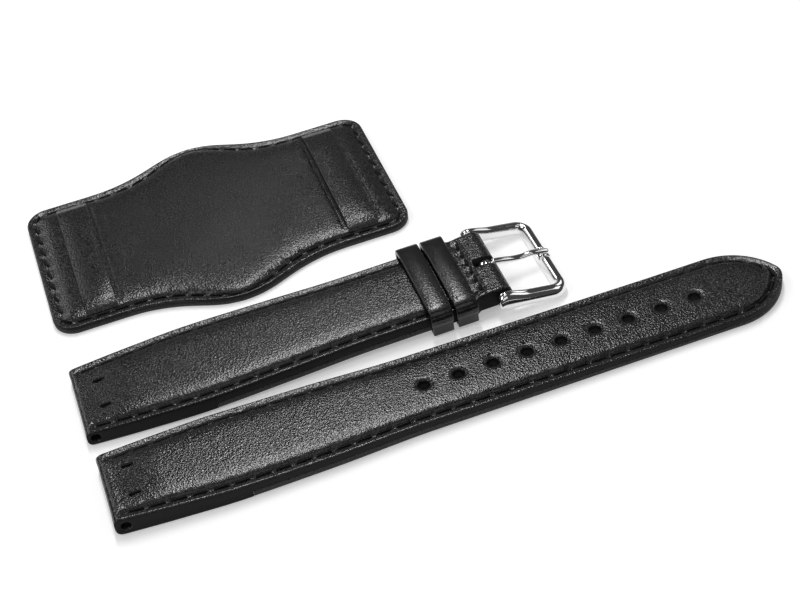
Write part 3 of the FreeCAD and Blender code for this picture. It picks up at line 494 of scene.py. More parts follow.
FIRST_LONG = 4.4
seam_steps = round((long_run[-1] - FIRST_LONG) / PITCH)
long_pitch = (long_run[-1] - FIRST_LONG) / seam_steps
long_inner = (long_edge - long_out * IN_FROM_EDGE[-1])[:, 1]
long_phase = (long_run - FIRST_LONG) / long_pitch * PITCH
long_top = sewn_top(long_base, lambda x: float(np.interp(x, [0, 29.1, 107], [0.6, 0.6, 0.4])),
                    long_inner, long_phase, PITCH / 2, 3.0, lambda x: float(ease(x, 0.7, 2.6)),
                    lambda x: float(ease(x, 0.7, 11.0)), lambda x: float(ease(x, 0.0, 0.6)))
long_leather = Leather(long_edge, long_out, long_top, long_low)
FIRST_HOLE, HOLE_PITCH, HOLE_COUNT, HOLE_RADIUS, TUNNEL_RADIUS = 59.5, 6.68, 9, 1.0, 0.95
HOLES = [FIRST_HOLE + HOLE_PITCH * k for k in range(HOLE_COUNT)]
HOLE_RIM = [(2.3, 0), (1.95, 0.0), (1.6, 0.05), (1.34, 0.15), (1.16, 0.3), (1.05, 0.5), (1.0, 0.8)]
for along in HOLES:
    long_leather.punch(along, 0.0, HOLE_RADIUS, HOLE_RIM)
long_leather.tunnel(LONG_NOSE, LONG_NOSE, TUNNEL_RADIUS, 1.5)
long_upper = long_leather.finish("long_upper_leather", LONG_PLACE)


def skived(top, start, stop, depth=0.12):
    """Thickness that runs out at both ends of a lining."""
    def height(along, sign, low=0.0):
        middle = (top(along) + low) / 2
        half = (top(along) - low) / 2
        near_end = min(along - start, stop - along)
        if near_end < depth:
            half *= math.sqrt(max(1 - (1 - max(near_end, 0) / depth) ** 2, 0))
        return middle + sign * half
    return height


def lining_sheet(edge, out, start, stop, height, inset=0.04):
    """A plain sheet under a half between two stations, its edges a little rounded."""
    keep = [k for k, p in enumerate(edge) if start - 1e-6 <= p[0] <= stop + 1e-6]
    edge, out = edge[keep] - out[keep] * inset, out[keep]

    def top(x, y, ring, row):
        level = height(x, 1)
        if ring < 0 or IN_FROM_EDGE[ring] > 0.3:
            return level
        return level - 0.3 * (1 - IN_FROM_EDGE[ring] / 0.3) ** 2 * min((level - height(x, -1)), 1)

    return Leather(edge, out, top, lambda x: height(x, -1), 0.35)


long_tip = long_edge[-1][0] + 1
long_height = skived(lambda x: float(long_lining_top(x)), TAIL - 0.1, long_tip)
long_under = lining_sheet(long_edge, long_out, TAIL, long_tip, long_height)
for along in HOLES:
    long_under.punch(along, 0.0, HOLE_RADIUS, [(2.3, 0), (1.5, 0), (1.0, 0)])
long_lining = long_under.finish("long_lining_leather", LONG_PLACE)
print("long half:", len(long_upper.data.vertices), "+", len(long_lining.data.vertices), "points")
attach(long_upper, "long_half")
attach(long_lining, "long_half")

# %% [markdown]
# ## The short half
# The short half is made the same way, but both of its ends are rolled: one round the watch's
# spring bar and the other round the buckle's. In front of the buckle the padding ends, the leather
# dips where a row of cross stitches closes the fold, and rises again over the bar. A slot lets the
# tang of the buckle through.

# %% Short half: upper leather and lining
BODY_END, ROW_AT, SLOT_FROM = 76.0, 77.8, 79.0
FLAP_FROM = 69.0
SHORT_EDGE = 3.3


def short_base(along):
    if along < SHORT_NOSE:
        return nose(along, SHORT_NOSE, 1)
    if along > BAR_AT:
        return nose(fold_end - along, FOLD_NOSE, 1, 2.2)
    dip = 0.09 * math.exp(-((along - ROW_AT) / 0.6) ** 2)
    rise = (2 * FOLD_NOSE - SHORT_EDGE) * ease(along, BODY_END - 2.2, ROW_AT + 1.0)
    return float(SHORT_EDGE + rise) - dip


def short_low(along):
    if along < SHORT_NOSE:
        return nose(along, SHORT_NOSE, -1)
    if along > BAR_AT:
        return nose(fold_end - along, FOLD_NOSE, -1, 2.2)
    return 1.5 if TAIL < along < FLAP_FROM else 0.0


FIRST_SHORT, LAST_SHORT = 3.7, 73.4
run_first = np.interp(FIRST_SHORT, short_line[:, 0], short_run)
run_last = np.interp(LAST_SHORT, short_line[:, 0], short_run)
short_pitch = (run_last - run_first) / round((run_last - run_first) / PITCH)
short_phase = (short_run - run_first) / short_pitch * PITCH
short_inner = (short_edge - short_out * IN_FROM_EDGE[-1])[:, 1]


def short_fade(x):
    return float(ease(x, 0.7, 2.6) * (1 - ease(x, BODY_END - 1.4, BODY_END + 0.2)))


def short_puff(x):
    return float(ease(x, 0.7, 11.0) * (1 - 0.95 * ease(x, BODY_END - 1.6, BODY_END + 0.4)))


short_top = sewn_top(short_base, lambda x: 0.6, short_inner, short_phase, PITCH / 2, 7.0, short_fade,
                     short_puff, lambda x: float(ease(x, 0, 0.6) * (1 - 0.4 * ease(x, BODY_END, fold_end))))
ROW = [(ROW_AT, 2.5 * (k - 2.5)) for k in range(6)]


def short_pitted(x, y, ring, row):
    """The short half's top with the pits that its cross stitches press."""
    pits = 0
    if x > BODY_END:
        pits = sum(math.exp(-((x - a) ** 2 / 0.5 + (y - b) ** 2)) for a, b in ROW)
    return short_top(x, y, ring, row) - 0.3 * pits


short_leather = Leather(short_edge, short_out, short_pitted, short_low)
short_leather.tunnel(SHORT_NOSE, SHORT_NOSE, TUNNEL_RADIUS, 1.25)
slot_half = min(range(ACROSS), key=lambda k: abs(SHARES[k] * short_inner[-1] + 1.1))
short_leather.slot(SLOT_FROM, (RINGS + slot_half, RINGS + ACROSS - 1 - slot_half))
short_upper = short_leather.finish("short_upper_leather", SHORT_PLACE)
short_height = skived(lambda x: 1.5, TAIL - 0.1, FLAP_FROM + 0.1)
short_under = lining_sheet(short_edge, short_out, TAIL, FLAP_FROM, short_height)
short_lining = short_under.finish("short_lining_leather", SHORT_PLACE)
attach(short_upper, "short_half")
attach(short_lining, "short_half")
print("short half:", len(short_upper.data.vertices), "+", len(short_lining.data.vertices), "points")

# %% [markdown]
# ## The pad
# The pad is cut from two leathers with a bulge on each long side where the watch sits. Its outline
# is straight runs and arcs that meet without a corner, and the seam goes all the way round, so its
# skin is built from closed rings and the middle is filled with evenly spread points.

# %% Pad: outline and two leathers
PAD_LONG, PAD_WIDE, CORNER = 74.0, 39.2, 4.5
PAD_LINING, PAD_EDGE, PAD_CROWN = 0.85, 1.75, 0.55
# half widths of the pad from its middle outwards
BULGE = ([-3.2, 0, 3.2, 4.7, 6.2, 7.7, 9.2, 10.7, 12.2, 13.5, 15.0, 16.5, 18.3, 20.3, 23.0],
         [25.0, 25.35, 25.0, 24.6, 24.08, 23.45, 22.78, 22.12, 21.52, 21.08, 20.62, 20.27, 19.93, 19.7, 19.6])


def pad_outline():
    """One quarter, mirrored to the whole, evenly spaced, with outward directions."""
    spots, ways = [], []

    def line(a, b, way):
        count = max(int(math.dist(a, b) / 0.35), 1)
        for k in range(count):
            spots.append((a[0] + (b[0] - a[0]) * k / count, a[1] + (b[1] - a[1]) * k / count))
            ways.append(way)

    half_long, half_wide = PAD_LONG / 2, PAD_WIDE / 2
    line((half_long, 0), (half_long, half_wide - CORNER), (1, 0))
    for angle in np.arange(0, 1.0001, 0.05) * math.pi / 2:
        spots.append((half_long - CORNER + CORNER * math.cos(angle),
                      half_wide - CORNER + CORNER * math.sin(angle)))
        ways.append((math.cos(angle), math.sin(angle)))
    line((half_long - CORNER - 0.35, half_wide), (BULGE[0][-1], half_wide), (0, 1))
    bulge, look = edge_points(np.arange(BULGE[0][-1], -0.001, -0.33), BULGE)
    quarter = np.concatenate([np.array(spots), bulge, [[0.0, BULGE[1][1]]]])
    look = np.concatenate([np.array(ways, float), look, [[0.0, 1.0]]])
    half = np.concatenate([quarter, (quarter * [-1, 1])[::-1][1:]])
    half_look = np.concatenate([look, (look * [-1, 1])[::-1][1:]])
    whole = np.concatenate([half, (half * [1, -1])[::-1][1:-1]])
    whole_look = np.concatenate([half_look, (half_look * [1, -1])[::-1][1:-1]])
    keep = [0] + [k for k in range(1, len(whole)) if np.linalg.norm(whole[k] - whole[k - 1]) > 0.1]
    return whole[keep], whole_look[keep]


pad_edge, pad_out = pad_outline()
print("pad outline:", len(pad_edge), "points")

# %% Pad: the seam's path
# the seam comes nearer to the edge at the top of each bulge, and the short ends are hardly grooved
from_middle = np.abs(pad_edge[:, 0])
pad_in = 1 - 0.42 * np.exp(-(from_middle / 6.5) ** 2) + 0.14 * np.exp(-((from_middle - 14) / 5) ** 2)
pad_deep = 1 - 0.85 * pad_out[:, 0] ** 2
pad_line = pad_edge - pad_out * (SEAM_IN * pad_in)[:, None]
pad_gaps = np.linalg.norm(np.diff(np.concatenate([pad_line, pad_line[:1]]), axis=0), axis=1)
pad_run = np.concatenate([[0], np.cumsum(pad_gaps)[:-1]])
pad_round = float(pad_gaps.sum())
pad_stitches = round(pad_round / PITCH)
pad_pitch = pad_round / pad_stitches
print("pad seam", round(pad_round, 1), "mm,", pad_stitches, "stitches")


# %% Pad: fill a ring with points
def spread_inside(rim, step):
    """Evenly spread points inside a ring of points."""
    lo, hi = rim.min(0), rim.max(0)
    found = []
    x, y = rim[:, 0], rim[:, 1]
    x2, y2 = np.roll(x, -1), np.roll(y, -1)
    for gy in np.arange(lo[1] + step, hi[1], step):
        for gx in np.arange(lo[0] + step, hi[0], step):
            over = (y > gy) != (y2 > gy)
            cross = x[over] + (gy - y[over]) / (y2[over] - y[over]) * (x2[over] - x[over])
            if (cross > gx).sum() % 2 and np.hypot(x - gx, y - gy).min() > step * 0.7:
                found.append((gx, gy))
    return np.array(found)


def fill(points, rim_numbers, inside, height, flip=False):
    """Triangles over a ring of points and the points spread inside it."""
    flat = [Vector(points[k][:2]) for k in rim_numbers] + [Vector(p) for p in inside]
    count = len(rim_numbers)
    rim = [(k, (k + 1) % count) for k in range(count)]
    _, _, faces, origin, _, _ = delaunay_2d_cdt(flat, rim, [], 1, 1e-5)
    first = len(points)
    points += [(float(x), float(y), height(float(x), float(y))) for x, y in inside]
    numbers = list(rim_numbers) + list(range(first, len(points)))
    return [tuple(numbers[origin[k][0]] for k in face) for face in faces]


print("points 5 mm apart in a 20 mm square:",
      len(spread_inside(np.array([[0.0, 0], [20, 0], [20, 20], [0, 20]]), 5)))

# %% Pad: two leathers
CREASES = (-23.55, 23.55, 30.85)  # lines where the bands press the pad's leather


def pad_sheet(name, top, low, round_top, round_low, section=None, inset=0.0):
    """A sheet with the pad's outline. section: (distance in, height) of its sewn top."""
    points, faces = [], []
    plain_edge = [(0, -round_top), (round_top * 0.3, -round_top * 0.3), (round_top, 0), (2.5, 0)]
    rings = section if section else plain_edge
    count = len(pad_edge)
    holes, waves = pulled(pad_run / pad_pitch * PITCH, 0.0), wobble(pad_run, 1.0)
    for k, (d, h) in enumerate(rings):
        for p, way, pull, wave, share, deep in zip(pad_edge, pad_out, holes, waves, pad_in, pad_deep):
            x, y = p - way * ((d * share if section else d) + inset)
            z = top + (h * deep if d > 0.4 else h)
            if section:
                z += -PULL[k] * pull * 0.8 + 0.03 * wave * math.exp(-(d - 1.6) ** 2 / 0.35)
            points.append((x, y, z))
    start = len(points)
    round_low = min(round_low, (top - low) * 0.3)
    for d, h in [(0, (top - low) * 0.55), (0, (top - low) * 0.3), (0, round_low),
                 (round_low * 0.3, round_low * 0.3), (round_low, 0), (2.5, 0)]:
        points += [(*(p - way * (d + inset)), low + h) for p, way in zip(pad_edge, pad_out)]
    top_rows, all_rows = len(rings), len(points) // count
    faces += band_faces(top_rows, count, closed_columns=True)
    faces += band_faces(all_rows - top_rows, count, closed_columns=True, first=start)
    faces += [(k, (k + 1) % count, start + (k + 1) % count, start + k) for k in range(count)]
    rim = list(range((top_rows - 1) * count, top_rows * count))
    rim_flat = np.array([points[k][:2] for k in rim])
    rim_high = np.array([points[k][2] for k in rim])
    inside = spread_inside(rim_flat, 0.9)
    if section:
        open_ground = [p for p in inside if min(abs(p[0] - crease) for crease in CREASES) > 1.3]
        rows = [(crease + side, y) for crease in CREASES for side in (-0.9, -0.35, 0.0, 0.35, 0.9)
                for y in np.arange(-16.4, 16.5, 0.8)]
        inside = np.array(open_ground + rows)

    def height(x, y):
        if not section:
            return top
        away = np.hypot(rim_flat[:, 0] - x, rim_flat[:, 1] - y)
        start = (rim_high / away ** 3).sum() / (1 / away ** 3).sum()
        swell = (top + PAD_CROWN - start) * (1 - math.exp(-away.min() / 1.5))
        crease = sum(math.exp(-((x - c) / 0.42) ** 2) for c in CREASES) * min(away.min() / 2, 1)
        return start + swell + 0.03 * pad_relief(x, y) * min(away.min() / 3, 1) - 0.2 * crease

    faces += fill(points, rim, inside, height)
    floor_rim = list(range((all_rows - 1) * count, all_rows * count))
    floor_inside = spread_inside(np.array([points[k][:2] for k in floor_rim]), 2.0)
    faces += fill(points, floor_rim, floor_inside, lambda x, y: low)
    return piece(name, points, faces, PAD_PLACE)


def pad_relief(x, y):
    """Soft unevenness of the pad's face."""
    return math.sin(x * 0.21 + 1.0) * math.sin(y * 0.17 + 0.4) + 0.4 * math.sin(x * 0.47 + y * 0.33)


pad_section = [(float(d), float(h) * 0.8) for d, h in zip(IN_FROM_EDGE, EDGE_HEIGHT)]
pad_upper = pad_sheet("pad_upper_leather", PAD_EDGE, PAD_LINING, 0.3, 0.12, pad_section)
pad_lining = pad_sheet("pad_lining_leather", PAD_LINING, 0.0, 0.15, 0.2, None, 0.05)
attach(pad_upper, "pad")
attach(pad_lining, "pad")
print("pad:", len(pad_upper.data.vertices), "points on the upper leather")

# %% [markdown]
# ## The cross bands of the pad
# Two bands cross the pad, and the strap halves pass under them. Their ends are sewn down, and the
# leather between lies close to the pad but stands up a little on the side where the strap comes
# out. A band is a rounded section carried along a line over the pad.

# %% Bands and keepers from rounded sections
def rounded_box(wide, high, corner, steps=5):
    """Points round a rectangle with rounded corners, centred."""
    made = []
    for cx, cy, start in ((1, 1, 0), (-1, 1, 1), (-1, -1, 2), (1, -1, 3)):
        for k in range(steps + 1):
            a = (start + k / steps) * math.pi / 2
            made.append((cx * (wide / 2 - corner) + corner * math.cos(a),
                         cy * (high / 2 - corner) + corner * math.sin(a)))
    return made


def swept(name, line, section_at, place, closed=False):
    """Sections carried along a line. line: (centre, side, up) for each step."""
    points, count = [], None
    for k, (centre, side, over) in enumerate(line):
        section = section_at(k)
        count = len(section)
        points += [tuple(Vector(centre) + Vector(side) * a + Vector(over) * b) for a, b in section]
    faces = band_faces(len(line), count, closed_rows=closed, closed_columns=True)
    if not closed:
        faces += [tuple(range(count)), tuple(range(len(points) - count, len(points)))]
    return piece(name, points, faces, place)


print("a rounded box of", len(rounded_box(2, 1, 0.2)), "points")

# %% The two bands
BAND_WIDE, BAND_THICK, BAND_SPAN, BAND_FROM_END = 6.4, 1.0, 35.0, 9.8
PAD_TOP = PAD_EDGE + PAD_CROWN


def cross_band(name, along, inner):
    """inner is +1 or -1, the side that faces the middle of the pad."""
    line, lifts = [], []
    for y in np.linspace(-BAND_SPAN / 2, BAND_SPAN / 2, 90):
        share = abs(y) / (BAND_SPAN / 2)
        lift = 0.5 * float(1 - ease(share, 0.55, 0.96))
        to_end = (1 - share) * BAND_SPAN / 2
        thin = 1 - 0.8 * float(1 - ease(to_end, 0.0, 3.0))
        end_drop = 0.45 * float(1 - ease(to_end, 0.0, 0.9))
        line.append(((along, y, PAD_TOP + BAND_THICK * thin / 2 - 0.14 - end_drop), (1, 0, 0), (0, 0, 1)))
        lifts.append((lift, thin))

    def section(k):
        made = []
        for a, b in rounded_box(BAND_WIDE, BAND_THICK - 0.12, 0.2, 4):
            share = 0.5 + 0.5 * inner * a / (BAND_WIDE / 2)
            dome = 0.08 * (1 - (a / (BAND_WIDE / 2)) ** 2) if b > 0 else 0
            lift, thin = lifts[k]
            made.append((a, b * thin + lift * (0.2 + 0.8 * share) + dome * thin))
        return made

    return swept(name, line, section, PAD_PLACE)


band_at = PAD_LONG / 2 - BAND_FROM_END
left_band = cross_band("pad_band_left", -band_at, 1)
right_band = cross_band("pad_band_right", band_at, -1)
for band in (left_band, right_band):
    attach(band, "pad")

print("bands", round(2 * band_at, 1), "mm apart")

# %% The two keepers
KEEPER_WIDE, KEEPER_THICK, KEEPER_HALF, KEEPER_CORNER, KEEPER_FOOT = 4.4, 0.95, 9.75, 1.9, 0.7


def keeper(name, start, foot, head):
    """A leather loop round the strap, its outer ply ending part way down the sides."""
    outer, corner, wall = [], KEEPER_CORNER, KEEPER_THICK
    half, top, bottom = KEEPER_HALF + wall, head + wall, -foot - wall
    for cx, cz, first in ((1, 1, 0), (-1, 1, 1), (-1, -1, 2), (1, -1, 3)):
        c = corner if cz > 0 else KEEPER_FOOT
        centre = (cx * (half - c), (top - c) if cz > 0 else (bottom + c))
        for k in range(9):
            a = (first + k / 8) * math.pi / 2
            outer.append((centre[0] + c * math.cos(a), centre[1] + c * math.sin(a), math.cos(a), math.sin(a)))
        nxt = ((corner - half, top), (-half, bottom + KEEPER_FOOT),
               (half - KEEPER_FOOT, bottom), (half, top - corner))[first]
        here = outer[-1]
        count = 36 if first in (0, 2) else 16
        for k in range(1, count):
            t = k / count
            outer.append((here[0] + (nxt[0] - here[0]) * t, here[1] + (nxt[1] - here[1]) * t, *here[2:]))
    points = []
    for y, z, ny, nz in outer:
        sink = 0.3 * float(1 - ease(z, 1.75, 1.95)) if abs(y) > KEEPER_HALF - 0.5 or z < 0 else 0
        section = rounded_box(KEEPER_WIDE - sink, wall - sink, 0.22, 4)
        ring = len(section)
        for a, b in section:
            dome = 0.1 * (1 - (2 * a / KEEPER_WIDE) ** 2) if b > 0 else 0
            depth = -wall + (wall - sink) / 2 + b + dome
            swell = 0.32 * (1 - (y / half) ** 2) if z > 3 else 0
            points.append((KEEPER_WIDE / 2 + a, y + ny * depth, z + nz * depth + swell))
    faces = band_faces(len(outer), ring, closed_rows=True, closed_columns=True)
    return piece(name, points, faces, SHORT_PLACE @ Matrix.Translation((start, 0, 0)))


fixed_keeper = keeper("keeper_fixed", 71.4, 0.0, 4.1)
free_keeper = keeper("keeper_free", 66.4, 0.15, 4.2)
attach(fixed_keeper, "short_half")
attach(free_keeper, "keeper")
print("keepers of", len(free_keeper.data.vertices), "points each")

# %% [markdown]
# ## The buckle
# The frame is a polished steel bow: two arms with rounded ends on the spring bar, and a front
# bar. Its section is domed with a crest near the inner side. It is carried along the bow's
# centre line. The tang is a pin bent to a flat S that rests in a notch of the front bar.

# %% Buckle frame: its line and section
FRAME_HALF, FRAME_BAR, FRAME_CORNER = 9.0, 2.1, 3.4
BAR_WIDE = 2.4                    # the domed bar is a little wider than the frame's plain one


def bow_line():
    """Centre line of the frame from one arm's end round to the other's, with its outward directions."""
    middle = FRAME_HALF + BAR_WIDE / 2
    front = FRAME_REACH - FRAME_BAR / 2
    c = FRAME_CORNER - FRAME_BAR / 2
    back = [-1.6, -1.5, -1.35, -1.15, -0.9, -0.6, -0.3]
    made = [((x, middle), (0, 1)) for x in back + list(np.linspace(0, front - c, 22))]
    made += [((front - c + c * math.cos(a), middle - c + c * math.sin(a)), (math.cos(a), math.sin(a)))
             for a in np.linspace(math.pi / 2, 0, 14)[1:]]
    made += [((front, y), (1, 0)) for y in np.linspace(middle - c, 0, 20)[1:]]
    return made + [((x, -y), (a, -b)) for (x, y), (a, b) in reversed(made[:-1])]


def bar_section():
    """The frame's section: a dome with its crest towards the inside, over upright sides."""
    crest, high = -0.28, 1.42
    outer, inner = np.linspace(0, math.pi / 2, 10), np.linspace(math.pi / 2, math.pi, 8)[1:]
    made = [(crest + (1 - crest) * math.cos(a), high * math.sin(a)) for a in outer]
    made += [(crest + (1 + crest) * math.cos(a), high * math.sin(a)) for a in inner]
    made += [(-1.0, -0.5), (-0.96, -0.85), (-0.82, -1.08), (-0.55, -1.17), (0, -1.2)]
    return made + [(0.55, -1.18), (0.85, -1.08), (0.98, -0.85), (1.0, -0.5)]


FRAME_SECTION = bar_section()
print("buckle's line of", len(bow_line()), "steps, section of", len(FRAME_SECTION), "points")


# %% Buckle frame: the bow
def build_frame():
    """The bow, with the rounded, thicker ends of its arms round the spring bar."""
    line = [((x, y, 0), (a, b, 0), (0, 0, 1)) for (x, y), (a, b) in bow_line()]

    def section(k):
        (x, y, _), _, _ = line[k]
        notch = math.exp(-(y / 0.95) ** 4) * 0.55 if x > FRAME_REACH - FRAME_BAR else 0
        tall = 1 + 0.32 * (1 - float(ease(x, 0.6, 4.5)))
        if x < 0:
            tall *= math.sqrt(max(1 - (x / 1.62) ** 2, 0.01))
        slim = 1 if x > -0.9 else math.sqrt(max(1 - ((x + 0.9) / 0.75) ** 2, 0.04))
        return [(u * slim * BAR_WIDE / 2, v * tall - (notch if v > 0.6 else 0)) for u, v in FRAME_SECTION]

    return swept("buckle_bow", line, section, BUCKLE_PLACE)


buckle_bow = build_frame()
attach(buckle_bow, "buckle")
print("buckle made of", len(buckle_bow.data.vertices), "points")


# %% The tang
def smooth_path(corners, count):
    """Smooth line through a few points (Catmull-Rom)."""
    p = [Vector(c) for c in corners]
    p = [2 * p[0] - p[1]] + p + [2 * p[-1] - p[-2]]
    made = []
    for k in range(1, len(p) - 2):
        for t in np.linspace(0, 1, count + 1)[:-1]:
            a, b, c, d = p[k - 1:k + 3]
            made.append(0.5 * ((2 * b) + (c - a) * t + (2 * a - 5 * b + 4 * c - d) * t * t
                               + (3 * b - a - 3 * c + d) * t ** 3))
    return made + [p[-2]]


EYE_RADIUS = 1.29                 # middle of the eye's wall, round the spring bar


def build_tang():
    """The pin that rests in the front bar's notch, and the eye that turns on the spring bar."""
    notch_floor = FRAME_HIGH / 2 - 0.3
    heights = [(1.0, 1.28), (3.0, 1.22), (5.4, 1.05), (7.4, 1.2), (9.2, 1.62), (10.8, notch_floor + 0.72),
               (12.0, notch_floor + 0.62), (12.75, notch_floor + 0.5)]
    run = smooth_path([(x, 0, z) for x, z in heights], 6)
    line = []
    for k, spot in enumerate(run):
        ahead = (run[min(k + 1, len(run) - 1)] - run[max(k - 1, 0)]).normalized()
        line.append((spot, Vector((0, 1, 0)), ahead.cross(Vector((0, 1, 0))) * -1))
    last = len(run) - 1

    def section(k):
        size = 0.72 - 0.08 * k / last
        size *= math.sqrt(max(1 - max(k - last + 4, 0) ** 2 / 16.5, 0.04))
        round_about = np.linspace(0, 2 * math.pi, 21)[:-1]
        return [(size * math.cos(a), size * math.sin(a) * 0.85) for a in round_about]

    shank = swept("tang_shank", line, section, BUCKLE_PLACE)
    outward = [(math.cos(a), math.sin(a)) for a in np.linspace(0, 2 * math.pi, 49)[:-1]]
    ring = [((EYE_RADIUS * x, 0, EYE_RADIUS * z), (0, 1, 0), (x, 0, z)) for x, z in outward]
    eye = swept("tang_eye", ring, lambda k: rounded_box(1.4, 0.75, 0.3, 4), BUCKLE_PLACE, closed=True)
    return shank, eye


tang, tang_eye = build_tang()
for made in (tang, tang_eye):
    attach(made, "tang")
print("tang made of", len(tang.data.vertices), "points")

# %% [markdown]
# ## The thread
# A saddle seam shows one short, plump stitch after another, each diving into its hole at both
# ends. A texture of dashes would be quicker, but it would have no shadow in the groove. Every
# stitch here is a small twisted piece of thread, arched a little, and one seam is one mesh.

# %% One stitch and one seam
THREAD = 0.27
STEPS, SIDES, TWIST = 9, 8, 2.2


def stitch_points(centre, way, length, high):
    """One stitch: its points ring by ring. centre at mid height, way along the seam."""
    side = Vector((-way[1], way[0], 0))
    along = Vector((way[0], way[1], 0))
    made = []
    for k in range(STEPS):
        u = -1 + 2 * k / (STEPS - 1)
        dive = high * (1 - abs(u) ** 2.6) - 0.42 * max(abs(u) - 0.72, 0) / 0.28
        size = THREAD * (0.55 + 0.45 * math.sqrt(max(1 - abs(u) ** 3, 0)))
        spot = Vector(centre) + along * (u * length / 2) + Vector((0, 0, dive))
        for j in range(SIDES):
            a = 2 * math.pi * j / SIDES
            r = size * (1 + 0.1 * math.cos(3 * (a + TWIST * u * math.pi / 2)))
            over = Vector((0, 0, r * 0.95 * math.sin(a)))
            made.append(tuple(spot + side * (r * 1.08 * math.cos(a)) + over))
    return made


def seam(name, stitches, place, body):
    """All stitches of one seam in one mesh. stitches: (centre, way, length, height of arch)."""
    points, faces = [], []
    for centre, way, length, high in stitches:
        first = len(points)
        points += stitch_points(centre, way, length, high)
        faces += band_faces(STEPS, SIDES, closed_columns=True, first=first)
        last = first + (STEPS - 1) * SIDES
        faces += [tuple(range(first, first + SIDES)), tuple(range(last, last + SIDES))]
    made = piece(name, points, faces, place)
    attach(made, body)
    return made


print("a stitch of", len(stitch_points((0, 0, 0), (1, 0), 1, 0.1)), "points")

# %% Seams of the halves and the pad
STITCH_LONG, ARCH = 2.95, 0.06
rng = np.random.default_rng(7)


def side_stitches(line, run, first, pitch, count, base):
    """Stitches of both sides of a half."""
    made = []
    for k in range(count + 1):
        spot, way = between(line, run, first + k * pitch)
        for flip in (1, -1):
            if flip < 0 and abs(spot[1]) < 0.3:
                continue
            skew = float(rng.normal(0, 0.03))
            turned = np.array([way[0] - skew * way[1], way[1] + skew * way[0]]) * [1, flip]
            z = base(spot[0]) - 0.5 + THREAD * 0.7
            made.append(((spot[0], spot[1] * flip, z), turned, STITCH_LONG, ARCH))
    return made


long_stitches = side_stitches(long_line, long_run, FIRST_LONG, long_pitch, seam_steps, long_base)
long_seam = seam("long_seam", long_stitches, LONG_PLACE, "long_half")
short_count = round((run_last - run_first) / short_pitch)
short_stitches = side_stitches(short_line, short_run, run_first, short_pitch, short_count, short_base)
short_seam = seam("short_seam", short_stitches, SHORT_PLACE, "short_half")
pad_marks = []
pad_closed_line = np.concatenate([pad_line, pad_line[:2]])
pad_closed_run = np.concatenate([[0], np.cumsum(np.linalg.norm(np.diff(pad_closed_line, axis=0), axis=1))])
for k in range(pad_stitches):
    spot, way = between(pad_closed_line, pad_closed_run, (k + 0.5) * pad_pitch)
    at_end = abs(way[1]) ** 2
    slant = 0.3 * at_end
    turned = (way[0] - slant * way[1], way[1] + slant * way[0])
    low = PAD_EDGE - 0.4 + 0.2 * at_end + THREAD * 0.6
    pad_marks.append(((spot[0], spot[1], low), turned, STITCH_LONG - 0.5 * at_end, ARCH))
pad_seam = seam("pad_seam", pad_marks, PAD_PLACE, "pad")
print("stitches:", len(long_stitches), len(short_stitches), len(pad_marks))


# %% Tacks and the cross row of the fold
TACK_AT, TACK_SIDE = 5.1, 3.45


def tacks(top):
    """The two tacks that close a lug tunnel."""
    high = top(TACK_AT, TACK_SIDE, -1, 20) + 0.03
    return [((TACK_AT, side * TACK_SIDE, high), (1, 0), 2.6, 0.14) for side in (1, -1)]


long_tacks = seam("long_tacks", tacks(long_top), LONG_PLACE, "long_half")
short_tacks = seam("short_tacks", tacks(short_top), SHORT_PLACE, "short_half")
ROW_LEAN = math.radians(82)
row_way = (math.cos(ROW_LEAN), math.sin(ROW_LEAN))
row_marks = [((a, b, short_base(ROW_AT) - 0.1), row_way, 2.0, 0.08) for a, b in ROW]
fold_row = seam("fold_row", row_marks, SHORT_PLACE, "short_half")
print("cross row of", len(row_marks), "stitches")

# %% [markdown]
# ## What stands for what
# The frame's own solids are plain, so each leather, thread and steel piece made here takes the
# place of its solid. The felt lies hidden inside, so the upper leathers stand for it too, and they
# are declared as padded. The spring bar stays as it is in the frame.

# %% Replace the plain solids
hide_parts("long_top_leather", "long_filler")
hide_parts("long_lining")
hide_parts("short_top_leather", "short_filler")
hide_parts("short_lining")
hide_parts("pad_top_leather", "pad_filler")
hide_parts("pad_lining")
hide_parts("pad_loop_left")
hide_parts("pad_loop_right")
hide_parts("fixed_keeper")
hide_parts("free_keeper")
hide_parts("buckle_frame")
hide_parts("buckle_tang")
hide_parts("long_stitching")
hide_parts("short_stitching")
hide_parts("pad_stitching")
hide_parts("long_lug_tacks")
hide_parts("short_lug_tacks")
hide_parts("fold_stitching")
print("solids replaced")

# %% [markdown]
# ## Materials
# The leather is smooth black calf: nearly black, with a fine pebbled grain, a satin finish and
# edges dyed darker and duller; the same darker dye on the walls of holes, tunnels and slot is
# painted shade. Photographs of leather could be laid over it, but they would carry their own light.
# Here the grain is built once as a node group and shared. The lining is duller and a shade lighter.
# The thread is waxed, the buckle is polished and the spring bar is drawn steel.

# %% The shared grain
def group(name, inputs, outputs):
    made = bpy.data.node_groups.new(name, "ShaderNodeTree")
    for label, kind, value in inputs:
        socket = made.interface.new_socket(label, in_out="INPUT", socket_type=kind)
        socket.default_value = value
    for label, kind in outputs:
        made.interface.new_socket(label, in_out="OUTPUT", socket_type=kind)
    return made


